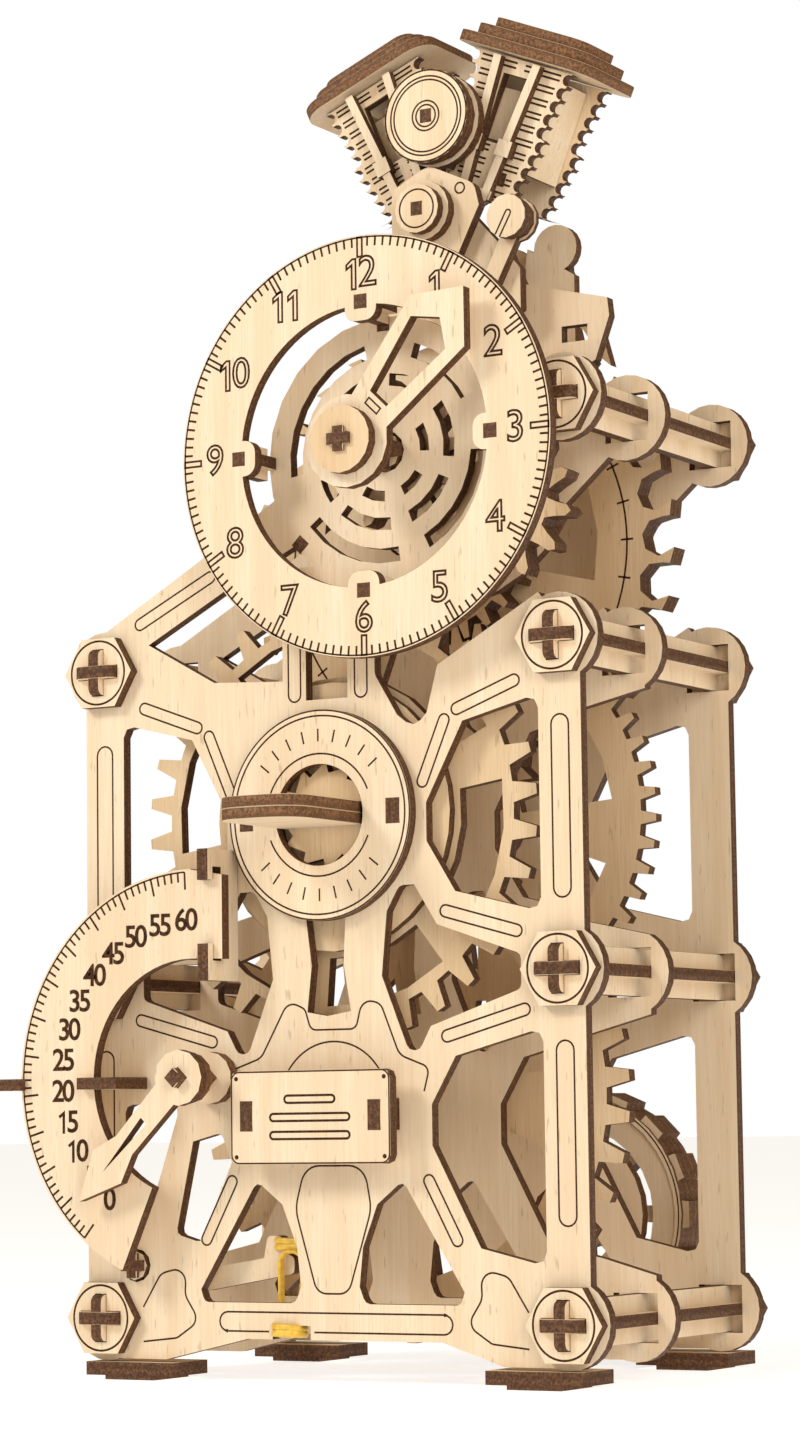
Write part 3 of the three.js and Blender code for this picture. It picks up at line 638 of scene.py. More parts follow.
class Finishes:
    """Every finish, made once and handed out by name."""

    def __init__(self) -> None:
        """Build the node groups and the finishes that never vary."""
        self.groups = Groups()
        self.engraved = Engraved().make(self.groups)
        self.latex = Latex().make(self.groups)
        self._birch: dict[tuple, bpy.types.Material] = {}

    def birch(self, kind: str = "sheet", normal: Sequence[float] = (0, 1, 0),
              shift: int = 0) -> bpy.types.Material:
        """A birch plywood finish.

        Args:
            kind: sheet, wheel, engine or thick; the second is a darker, more golden tone, painted
                shade for the parts that sit in shade between and behind the plates.
            normal: The sheet's normal in the row frame.
            shift: Which part of the veneer the piece is cut from.

        Returns:
            The material.
        """
        direction = tuple(round(float(v), 4) for v in normal)
        key = (kind, direction, shift)
        if key not in self._birch:
            tones = {
                "sheet": {},
                # painted shade: a darker, more golden tone than the sheet, standing in for the
                # shade that falls on the parts between and behind the plates
                "shaded_wheel": {"pale": (0.78, 0.60, 0.38), "warm": (0.62, 0.41, 0.21)},
                "engine": {"pale": (0.88, 0.73, 0.52), "warm": (0.73, 0.51, 0.29)},
                "thick": {"burnt": (0.105, 0.045, 0.018), "toasted": (0.30, 0.145, 0.058),
                          "veneer": 0.0015},
            }[kind]
            along = {0: (70.0, 2300.0, 2300.0), 2: (2300.0, 2300.0, 70.0)}
            upright = abs(direction[2]) < 0.5
            name = f"birch_{kind}_{len(self._birch)}"
            self._birch[key] = Birch(
                name, normal=direction, fibre=along[2] if upright else along[0],
                offset=(0.031 * shift, 0.017 * shift, 0.053 * shift), **tones).make(self.groups)
        return self._birch[key]


# ---- makers -----------------------------------------------------------------------------------
def object_from(name: str, body: bmesh.types.BMesh) -> bpy.types.Object:
    """Turn a bmesh into a linked object.

    Args:
        name: The object's name.
        body: The mesh, which is freed.

    Returns:
        The object.
    """
    bmesh.ops.remove_doubles(body, verts=body.verts, dist=2e-7)
    bmesh.ops.recalc_face_normals(body, faces=body.faces)
    mesh = bpy.data.meshes.new(name)
    body.to_mesh(mesh)
    body.free()
    made = bpy.data.objects.new(name, mesh)
    bpy.context.scene.collection.objects.link(made)
    return made


def add_prism(body: bmesh.types.BMesh, left: Sequence[Vector], right: Sequence[Vector],
              depth: Vector, closed: bool) -> None:
    """Add a thin closed strip between two rails.

    Args:
        body: The mesh to add to.
        left: Points of one rail.
        right: Points of the other rail.
        depth: From the strip's outer side to its inner side.
        closed: Whether the strip joins its own start.
    """
    rails = [[body.verts.new(p + offset) for p in rail]
             for rail in (left, right) for offset in (Vector(), depth)]
    top_left, low_left, top_right, low_right = rails
    count = len(left)
    for k in range(count if closed else count - 1):
        n = (k + 1) % count
        body.faces.new((top_left[k], top_left[n], top_right[n], top_right[k]))
        body.faces.new((low_left[k], low_right[k], low_right[n], low_left[n]))
        body.faces.new((top_left[k], low_left[k], low_left[n], top_left[n]))
        body.faces.new((top_right[k], top_right[n], low_right[n], low_right[k]))
    if not closed:
        body.faces.new((top_left[0], top_right[0], low_right[0], low_left[0]))
        body.faces.new((top_left[-1], low_left[-1], low_right[-1], top_right[-1]))


def add_tube(body: bmesh.types.BMesh, rings: Sequence[Sequence[Vector]]) -> None:
    """Skin a closed row of rings with smooth faces.

    Args:
        body: The mesh to add to.
        rings: The rings' points, each ring with as many.
    """
    loops = [[body.verts.new(point) for point in points] for points in rings]
    for k, here in enumerate(loops):
        after = loops[(k + 1) % len(loops)]
        for side in range(len(here)):
            n = (side + 1) % len(here)
            body.faces.new((here[side], after[side], after[n], here[n])).smooth = True


def rails_of(points: Sequence[Point], width: float,
             closed: bool) -> tuple[list[Point], list[Point]]:
    """Offset a line to both sides with mitred corners.

    Args:
        points: The line.
        width: The strip's full width.
        closed: Whether it is a loop.

    Returns:
        The two rails.
    """
    count = len(points)
    left, right = [], []
    for k, (x, z) in enumerate(points):
        before = points[k - 1] if closed or k > 0 else None
        after = points[(k + 1) % count] if closed or k < count - 1 else None
        legs = []
        if before:
            legs.append((Vector((x, z)) - Vector(before)).normalized())
        if after:
            legs.append((Vector(after) - Vector((x, z))).normalized())
        along = sum(legs, Vector((0.0, 0.0))).normalized()
        across = Vector((-along.y, along.x))
        stretch = 1.0 / max(0.45, abs(across.dot(Vector((-legs[0].y, legs[0].x)))))
        step = across * (width / 2 * stretch)
        left.append((x + step.x, z + step.y))
        right.append((x - step.x, z - step.y))
    return left, right


def digit_strokes(text: str, middle: Point, height: float, hollow: bool) -> bpy.types.Object:
    """Numerals from the built-in face, as a mesh in the drawing's plane.

    Args:
        text: The figures.
        middle: Where their middle goes, mm.
        height: The figures' height, mm.
        hollow: Outlines only when true, filled otherwise.

    Returns:
        A temporary object, its x and y being the drawing's x and z in mm.
    """
    curve = bpy.data.curves.new("figures", "FONT")
    curve.body = text
    curve.align_x = "CENTER"
    curve.align_y = "CENTER"
    curve.size = height / FIGURE_SHARE
    curve.resolution_u = 4
    if hollow:
        curve.fill_mode = "NONE"
        curve.bevel_depth = 0.27
        curve.bevel_resolution = 0
    else:
        curve.extrude = 0.04
        curve.offset = 0.11
    made = bpy.data.objects.new("figures", curve)
    bpy.context.scene.collection.objects.link(made)
    bpy.context.view_layer.update()
    solved = made.evaluated_get(bpy.context.evaluated_depsgraph_get())
    mesh = bpy.data.meshes.new_from_object(solved)
    bpy.data.objects.remove(made)
    flat = Matrix.Diagonal((1.0, 1.0, 0.12 if hollow else 1.0, 1.0))
    mesh.transform(Matrix.Translation((middle[0], middle[1], 0.0)) @ flat)
    return bpy.data.objects.new("figures", mesh)


@dataclass
class Engraving:
    """Burnt lines on one face of one piece, gathered into a single object."""

    name: str
    face: float
    body: str
    side: Face = Face.FRONT
    width: float = 0.42
    lift: float = 0.03
    mesh: bmesh.types.BMesh = field(default_factory=bmesh.new)

    def line(self, points: Sequence[Point], closed: bool = False,
             width: float | None = None) -> "Engraving":
        """Burn a line.

        Args:
            points: The line in the drawing's plane.
            closed: Whether it is a loop.
            width: Its width, where it isn't the usual one.

        Returns:
            This engraving.
        """
        outer = self.face + self.side.value * self.lift
        depth = Vector((0.0, -self.side.value * LINE_DEPTH_M, 0.0))
        rails = rails_of(points, width or self.width, closed)
        left, right = ([DATUM.at(x, outer, z) for x, z in rail] for rail in rails)
        add_prism(self.mesh, left, right, depth, closed)
        return self

    def loop(self, points: Sequence[Point], width: float | None = None) -> "Engraving":
        """Burn a closed line."""
        return self.line(points, True, width)

    def figures(self, text: str, middle: Point, height: float, hollow: bool) -> "Engraving":
        """Burn numerals.

        Args:
            text: The figures.
            middle: Where their middle goes.
            height: Their height, mm.
            hollow: Whether only their outline is burnt.

        Returns:
            This engraving.
        """
        pitch = 0.58 * height
        for k, figure in enumerate(text):
            spot = (middle[0] + pitch * (k - (len(text) - 1) / 2), middle[1])
            if figure == "1":
                self.one(spot, height, hollow)
                continue
            drawn = digit_strokes(figure, spot, height, hollow)
            outer = self.face + self.side.value * self.lift
            for vertex in drawn.data.vertices:
                x, z, up = vertex.co
                vertex.co = DATUM.at(x, outer + self.side.value * up, z)
            self.mesh.from_mesh(drawn.data)
            bpy.data.objects.remove(drawn)
        return self

    def one(self, middle: Point, height: float, hollow: bool) -> None:
        """Burn a figure one with a short flag.

        Args:
            middle: Where its middle goes.
            height: Its height, mm.
            hollow: Whether only its outline is burnt.
        """
        if hollow:
            shape = [(-0.02, -0.5), (0.13, -0.5), (0.13, 0.5), (0.0, 0.5), (-0.22, 0.33),
                     (-0.22, 0.18), (-0.02, 0.31)]
        else:
            shape = [(-0.2, 0.26), (0.06, 0.44), (0.06, -0.5)]
        line = [(middle[0] + u * height, middle[1] + v * height) for u, v in shape]
        self.line(line, hollow, 0.5 if hollow else 0.14 * height)

    def finish(self, finishes: Finishes, turn: float = 0.0,
               about: Point = (0.0, 0.0)) -> bpy.types.Object:
        """Close the engraving into an object that rides its body.

        Args:
            finishes: The finishes.
            turn: Degrees to turn it clockwise as seen from the front.
            about: The pivot of that turn.

        Returns:
            The object.
        """
        if turn:
            pivot = DATUM.at(about[0], 0.0, about[1])
            spin = Matrix.Rotation(math.radians(turn), 4, "Y")
            move = Matrix.Translation(pivot) @ spin @ Matrix.Translation(-pivot)
            self.mesh.transform(move)
        made = object_from(self.name, self.mesh)
        made.data.materials.append(finishes.engraved)
        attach(made, self.body)
        LOG.info("engraved %s on %s", self.name, self.body)
        return made


def cut_sheet(name: str, outline: Sequence[Point], holes: Sequence[Sequence[Point]], low: float,
              high: float, finish: bpy.types.Material, plane: Plane = Plane.FRONT,
              soften: float = 0.1) -> bpy.types.Object:
    """Cut a flat piece with slightly softened rims.

    Args:
        name: The piece's name.
        outline: Its outline in the plane, mm.
        holes: Openings through it.
        low: Lower side along the plane's normal, mm.
        high: Upper side along the plane's normal, mm.
        finish: Its finish.
        plane: The plane it is cut in.
        soften: The rim's chamfer, mm.

    Returns:
        The piece in the row frame.
    """
    curve = bpy.data.curves.new(name, "CURVE")
    curve.dimensions = "2D"
    curve.fill_mode = "BOTH"
    curve.extrude = (high - low) / 2 - soften
    curve.bevel_depth = soften
    curve.bevel_resolution = 0
    curve.offset = -soften
    for points in (outline, *holes):
        spline = curve.splines.new("POLY")
        spline.points.add(len(points) - 1)
        for point, (u, v) in zip(spline.points, points):
            point.co = (u, v, 0.0, 1.0)
        spline.use_cyclic_u = True
    holder = bpy.data.objects.new(name, curve)
    bpy.context.scene.collection.objects.link(holder)
    bpy.context.view_layer.update()
    solved = holder.evaluated_get(bpy.context.evaluated_depsgraph_get())
    mesh = bpy.data.meshes.new_from_object(solved)
    bpy.data.objects.remove(holder)
    middle = (low + high) / 2
    for vertex in mesh.vertices:
        u, v, w = vertex.co
        spot = {
            Plane.FRONT: (u, middle + w, v),
            Plane.SIDE: (middle + w, u, v),
            Plane.FLAT: (u, v, middle + w),
        }[plane]
        vertex.co = DATUM.at(*spot)
    body = bmesh.new()
    body.from_mesh(mesh)
    made = object_from(name, body)
    made.data.materials.append(finish)
    return made


def join(name: str, parts: Sequence[bpy.types.Object]) -> bpy.types.Object:
    """Gather several made parts into one piece, keeping their finishes.

    Args:
        name: The piece's name.
        parts: The parts, which are used up.

    Returns:
        The piece.
    """
    first, *rest = parts
    with bpy.context.temp_override(active_object=first, selected_editable_objects=list(parts)):
        if rest:
            bpy.ops.object.join()
    first.name = name
    first.data.name = name
    return first


def peg_end(name: str, centre: Point, half: Point, face: float, finishes: Finishes,
            body: str | None = None, turn: float = 0.0) -> bpy.types.Object:
    """The burnt end of a peg that comes through a sheet, a touch proud of it.

    Args:
        name: The piece's name.
        centre: Its middle.
        half: Half its width and half its height, mm.
        face: The sheet's front face.
        finishes: The finishes.
        body: The body it rides, or none when it is joined to another piece.
        turn: Degrees it is turned clockwise as seen from the front.

    Returns:
        The piece.
    """
    x, z = centre
    u, v = half
    outline = turned(rectangle((x - u, z - v), (x + u, z + v)), turn, centre)
    finish = finishes.birch("sheet", (0, 0, 1) if v <= u else (1, 0, 0))
    made = cut_sheet(name, outline, [], face - PEG_PROUD, face + PEG_DEPTH, finish)
    if body:
        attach(made, body)
    return made


def plus_end(name: str, centre: Point, arms: Point, face: float, finishes: Finishes,
             body: str) -> None:
    """The burnt end of two crossed strips, the level one a touch prouder.

    Args:
        name: The pieces' name.
        centre: Its middle.
        arms: Half its span and half an arm's width, mm.
        face: The face that it stands on.
        finishes: The finishes.
        body: The body it rides.
    """
    peg_end(name + "_level", centre, arms, face, finishes, body)
    peg_end(name + "_upright", centre, (arms[1], arms[0]), face + 0.06, finishes, body)


def crossed_strips(name: str, centre: Point, half: float, span: Point,
                   finishes: Finishes) -> list[bpy.types.Object]:
    """Two strips crossed into a short post.

    Args:
        name: The pieces' name.
        centre: The post's axis.
        half: Half a strip's width, mm.
        span: Where the post starts and ends along y, mm.
        finishes: The finishes.

    Returns:
        The upright and the level strip.
    """
    x, z = centre
    y0, y1 = span
    ply = SHEET / 2
    tall = rectangle((y0, z - half), (y1, z + half))
    wide = rectangle((x - half, y0 + 0.1), (x + half, y1 - 0.1))
    upright = cut_sheet(name + "_upright", tall, [], x - ply, x + ply,
                        finishes.birch("sheet", (1, 0, 0)), Plane.SIDE)
    level = cut_sheet(name + "_level", wide, [], z - ply, z + ply,
                      finishes.birch("sheet", (0, 0, 1)), Plane.FLAT)
    return [upright, level]


# ---- sub-assemblies ---------------------------------------------------------------------------
@dataclass
class Carcass:
    """The three plates, their feet and the slots engraved on them."""

    strip: tuple[float, float] = (60.8, 65.3)
    spans: tuple[tuple[float, float], ...] = ((24.3, 61.7), (98.7, 136.2))

    def dress(self, finishes: Finishes) -> None:
        """Give the plates and the feet their finish.

        Args:
            finishes: The finishes.
        """
        for k, node in enumerate(("frame_front_plate", "frame_middle_plate", "frame_back_plate")):
            put(node, finishes.birch("sheet", shift=k))
        for node in ("foot_front_left", "foot_front_right", "foot_rear_left", "foot_rear_right"):
            put(node, finishes.birch("sheet", (0, 0, 1), 3))

    def slots(self) -> list[list[Point]]:
        """The decorative slots that every plate carries.

        Returns:
            Closed outlines in the drawing's plane.
        """
        middle = sum(self.strip) / 2
        width = self.strip[1] - self.strip[0]
        right = [stadium((middle, low), (middle, high), width) for low, high in self.spans]
        for start, end in (((26.6, 125), (32.6, 139)), ((36, 141.4), (51.3, 147)),
                           ((32.3, 94.5), (51, 89.3)), ((32.3, 65.6), (52.8, 71.2)),
                           ((27, 32.4), (34.3, 18.8))):
            right.append(stadium(start, end, 2.8))
        return right + [mirrored(slot) for slot in right]

    def engrave(self, finishes: Finishes) -> None:
        """Engrave the front plate, and the slots on the back of the back plate.

        Args:
            finishes: The finishes.
        """
        front = Engraving("front_plate_lines", FRONT_FACE, "frame")
        for slot in self.slots():
            front.loop(slot)
        front.loop(stadium((-52.5, 167.8), (-32, 177.8), 2.8))
        front.loop(stadium((-8.2, 147.5), (-8.2, 160), 3.4))
        front.loop(stadium((10.2, 147.5), (10.2, 158), 3.4))
        front.loop(smooth([(-6.6, 36, 5), (9.6, 36, 5), (11.4, 26, 9), (5, 6.3, 3.4),
                           (-3.6, 6.3, 3.4), (-9.4, 26, 9)]))
        front.line([(-17, -2.7), (-28.5, -2.7)] + arc((-28.5, -0.45), 2.25, 270, 90, 8)
                   + [(30.5, 1.8)] + arc((30.5, -0.45), 2.25, 90, -90, 8) + [(-4.5, -2.7)])
        for corner in (1, -1):
            front.line([(corner * x, z) for x, z in self.corner_blob()])
        front.line(self.crest()).line(arc((1.5, 50.0), 15, 33, 147))
        front.finish(finishes)
        rear = Engraving("back_plate_lines", BACK_FACE, "frame", Face.REAR)
        for slot in self.slots():
            rear.loop(slot)
        rear.finish(finishes)

    @staticmethod
    def corner_blob() -> list[Point]:
        """The open pear-shaped line beside each bottom nut."""
        return smooth([(52.6, 2.6, 0), (47.5, 10.6, 3.5), (40.2, 12.4, 3), (40.6, 5.5, 4),
                       (36.6, -0.5, 2.6), (43, -4.6, 2.5), (52.6, -5.6, 0)])

    @staticmethod
    def crest() -> list[Point]:
        """The two-horned line above the plaque."""
        return smooth([(-26, 53, 0), (-27.5, 58.5, 2), (-18.5, 61.5, 4), (-10.8, 74.8, 3),
                       (-6.2, 72.8, 2), (-4.6, 67.8, 2), (7.8, 67.8, 2), (9.6, 74.8, 3),
                       (14.6, 73.6, 3), (19.5, 61.5, 4), (27.5, 58.5, 2), (26, 53, 0)])


@dataclass
class Stays:
    """The seven columns of interlocked strips, with their nuts."""

    half: float = 5.6
    arm: float = 1.5
    tip: float = 1.9
    nut: float = 9.75
    circle: float = 7.8
    ends: tuple[float, float] = (-2.4, 90.2)
    rear_nut: tuple[float, float] = (84.8, 87.8)

    def profile(self, short: float) -> list[Point]:
        """A strip's outline, along the column and across it, with rounded tips.

        Args:
            short: How far both tips stop short, mm.

        Returns:
            The outline as y and distance from the axis.
        """
        y0, y1 = self.ends[0] + short, self.ends[1] - short
        return soft_rectangle((y0, -self.half), (y1, self.half), self.tip)

    def build(self, finishes: Finishes) -> None:
        """Cut every column's two strips and its rear nut.

        Args:
            finishes: The finishes.
        """
        for k, (key, (x, z)) in enumerate(COLUMNS.items()):
            upright = cut_sheet(f"upright_{key}", [(u, z + v) for u, v in self.profile(0.35)], [],
                                x - self.arm, x + self.arm,
                                finishes.birch("sheet", (1, 0, 0), k % 3), Plane.SIDE)
            level = cut_sheet(f"level_{key}", [(x + v, u) for u, v in self.profile(0.0)], [],
                              z - self.arm, z + self.arm, finishes.birch("sheet", (0, 0, 1), k % 3),
                              Plane.FLAT)
            nut = cut_sheet(f"rear_nut_{key}", ring((x, z), self.nut, 6), [], *self.rear_nut,
                            finishes.birch("sheet", shift=k % 3))
            column = join(f"stay_{key}", [upright, level, nut])
            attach(column, "frame")
            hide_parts(f"column_{key}")
            LOG.info("built %s", column.name)

    def dress(self, finishes: Finishes) -> None:
        """Finish the front nuts and engrave a circle on every nut.

        Args:
            finishes: The finishes.
        """
        front = Engraving("front_nut_circles", NUT_FACE, "frame")
        rear = Engraving("rear_nut_circles", self.rear_nut[1], "frame", Face.REAR)
        for k, (key, centre) in enumerate(COLUMNS.items()):
            put(f"nut_{key}", finishes.birch("sheet", shift=k % 3))
            front.loop(ring(centre, self.circle), 0.5)
            rear.loop(ring(centre, self.circle))
        front.finish(finishes)
        rear.finish(finishes)


@dataclass
class HourDial:
    """The hour ring with its scale and figures, and the hand over it."""

    rim: float = 49.6
    tick: float = 2.3
    figure_radius: float = 40.9
    figure_height: float = 7.2
    post_radius: float = 34.25
    cross_face: float = -19.2

    def direction(self, degrees: float, radius: float) -> Point:
        """A point at a clock angle.

        Args:
            degrees: Clockwise from twelve.
            radius: From the dial's centre.

        Returns:
            The point.
        """
        t = math.radians(degrees)
        return DIAL[0] + radius * math.sin(t), DIAL[1] + radius * math.cos(t)

    def build(self, finishes: Finishes) -> None:
        """Dress the ring and hand, and engrave the scale.

        Args:
            finishes: The finishes.
        """
        self.ring_piece(finishes)
        put("hour_hand", finishes.birch("sheet", shift=5))
        # painted shade: the arbor gets the darker, more golden tone that stands in for the shade
        # behind the dial
        put("hour_arbor", finishes.birch("shaded_wheel", shift=1))
        scale = Engraving("dial_scale", DIAL_FACE, "frame", width=0.52)
        for k in range(144):
            if k % 12:
                angle = 2.5 * k
                scale.line([self.direction(angle, r) for r in (self.rim - self.tick, self.rim)])
        for hour in range(12):
            mark = rectangle((DIAL[0] - 0.65, DIAL[1] + 44.9), (DIAL[0] + 0.65, DIAL[1] + 49.5))
            scale.loop(turned(mark, 30.0 * hour, DIAL), 0.5)
        scale.loop(ring(DIAL, 49.5, 144), 0.4)
        scale.finish(finishes)
        figures = Engraving("dial_figures", DIAL_FACE, "frame")
        for hour in range(1, 13):
            spot = self.direction(30.0 * hour, self.figure_radius)
            figures.figures(str(hour), spot, self.figure_height, True)
        figures.finish(finishes)
        hand = Engraving("hand_mark", HAND_FACE, "hour", width=0.4)
        mark = rectangle((DIAL[0] - 2.1, DIAL[1] + 9.6), (DIAL[0] + 2.1, DIAL[1] + 11.2))
        hand.loop(mark).finish(finishes, HOUR_TURN, DIAL)
        plus_end("hour_cross", DIAL, (2.95, 1.4), self.cross_face, finishes, "hour")

    def ring_piece(self, finishes: Finishes) -> None:
        """Cut the ring with its four tabs, the posts behind them and their burnt ends.

        Args:
            finishes: The finishes.
        """
        hole: list[Point] = []
        for quarter in range(4):
            side = arc(DIAL, 33.5, 97.37, 172.63, 18)
            tab = arc((DIAL[0] - 32.6, DIAL[1] + 1.3), 3.0, 90, 0, 6)
            tab += arc((DIAL[0] - 32.6, DIAL[1] - 1.3), 3.0, 0, -90, 6)
            hole += turned(side + tab, -90.0 * quarter, DIAL)
        face = cut_sheet("dial_face", ring(DIAL, 50, 144), [hole], DIAL_FACE, DIAL_FACE + SHEET,
                         finishes.birch("sheet", shift=4))
        parts = [face]
        far = self.post_radius
        for k, (dx, dz) in enumerate(((0, far), (far, 0), (0, -far), (-far, 0))):
            spot = (DIAL[0] + dx, DIAL[1] + dz)
            span = (DIAL_FACE + SHEET + 0.05, 2.7)
            parts += crossed_strips(f"dial_post_{k}", spot, 3.9, span, finishes)
            parts.append(peg_end(f"dial_peg_{k}", spot, (1.75, 1.75), DIAL_FACE, finishes))
        made = join("dial", parts)
        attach(made, "frame")
        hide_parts("dial_ring")


@dataclass
class MinuteScale:
    """The minute arc, its supports, and the hand that swings over it."""

    zero: float = 230.5
    sixty: float = 92.0
    figure_radius: float = 37.2
    outer: float = 48.8
    peg_face: float = -16.2

    def place(self, minute: float, radius: float) -> Point:
        """A point of the scale.

        Args:
            minute: From 0 to 60.
            radius: From the arc's centre.

        Returns:
            The point.
        """
        t = math.radians(self.zero + (self.sixty - self.zero) * minute / 60)
        return MINUTE[0] + radius * math.cos(t), MINUTE[1] + radius * math.sin(t)

    def build(self, finishes: Finishes) -> None:
        """Dress the arc and hand, and engrave the scale.

        Args:
            finishes: The finishes.
        """
        put("minute_arc", finishes.birch("sheet", shift=6))
        put("minute_hand", finishes.birch("sheet", shift=2))
        put("minute_arbor", finishes.birch("thick", shift=1))
        put("arc_slat", finishes.birch("sheet", (0, 0, 1), 1))
        put("arc_bracket", finishes.birch("sheet", (1, 0, 0), 2))
        scale = Engraving("minute_scale", ARC_FACE, "frame", width=0.52)
        for minute in range(61):
            long = 4.2 if minute % 5 == 0 else 2.3
            scale.line([self.place(minute, self.outer - long), self.place(minute, self.outer)])
        scale.line([self.place(m / 2, self.outer) for m in range(121)], width=0.4)
        scale.finish(finishes)
        figures = Engraving("minute_figures", ARC_FACE, "frame")
        for minute in range(0, 65, 5):
            figures.figures(str(minute), self.place(minute, self.figure_radius), 5.2, False)
        figures.finish(finishes)
        diamond = peg_end("minute_peg", MINUTE, (1.7, 1.7), self.peg_face, finishes, "minute", 45.0)
        LOG.info("built %s", diamond.name)


@dataclass
class WindingKey:
    """The key disk, its round-nosed thumb plate and the ratchet behind it."""

    outer: float = 23.5
    inner: float = 14.5

    def build(self, finishes: Finishes) -> None:
        """Dress the key and engrave plain winding marks.

        Args:
            finishes: The finishes.
        """
        disk = cut_sheet("key_ring", ring(HUB, 25, 96), [ring(HUB, 12, 64)], KEY_FACE,
                         KEY_FACE + 2.7, finishes.birch("sheet", shift=7))
        pegs = [peg_end(f"key_peg_{k}", (HUB[0] + dx, HUB[1]), (1.9, 3.0), KEY_FACE, finishes)
                for k, dx in enumerate((-20.2, 20.2))]
        ring_piece = join("winding_ring", [disk, *pegs])
        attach(ring_piece, "key")
        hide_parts("key_disk")
        nose = smooth([(-11.3, 2.5, 0), (-11.3, -30.2, 8), (11.3, -30.2, 8), (11.3, 2.5, 0)], 12)
        plies = []
        for k in range(2):
            low = 115.6 + 2.72 * k
            plies.append(cut_sheet(f"thumb_ply_{k}", nose, [], low, low + 2.68,
                                   finishes.birch("thick", (0, 0, 1), 2), Plane.FLAT, 0.18))
        thumb = join("thumb_plate", plies)
        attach(thumb, "key")
        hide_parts("key_thumb")
        # painted shade: the ratchet gets the darker, more golden tone that stands in for the shade
        # behind the key
        put("key_ratchet", finishes.birch("shaded_wheel", shift=2))
        lines = Engraving("key_lines", KEY_FACE, "key")
        lines.loop(ring(HUB, self.outer, 96)).loop(ring(HUB, 24.75, 96), 0.35)
        for start, end in ((22, 158), (202, 338)):
            lines.line(arc(HUB, self.inner, start, end))
        for k in range(-4, 5):
            for side in (90, 270):
                angle = side + 13 * k
                lines.line([arc(HUB, r, angle, angle, 1)[0] for r in (17.4, 20.4)])
        lines.finish(finishes)


@dataclass
class NamePlate:
    """The plaque under the hub, with plain bars in place of any mark."""

    bars: tuple[tuple[float, float], ...] = ((51.6, 6.0), (47.4, 10.0), (43.2, 10.0))

    def build(self, finishes: Finishes) -> None:
        """Dress the plaque and engrave its dots and bars.

        Args:
            finishes: The finishes.
        """
        put("plaque", finishes.birch("sheet", shift=8))
        lines = Engraving("plaque_lines", PLAQUE_FACE, "frame", width=0.55)
        for x in (-20.2, 20.2):
            for z in (38.2, 56.5):
                lines.loop(ring((x, z), 0.28, 12), 0.5)
        for z, half in self.bars:
            lines.loop(stadium((-half, z), (half, z), 1.7))
        lines.loop(soft_rectangle((-21.5, 36.75), (21.5, 58.05), 2), 0.35)
        lines.finish(finishes)
        pegs = [peg_end(f"plaque_peg_{k}", (x, 47.75), (1.75, 3.55), PLAQUE_FACE, finishes, "frame")
                for k, x in enumerate((-17.45, 17.45))]
        LOG.info("built %d plaque pegs", len(pegs))


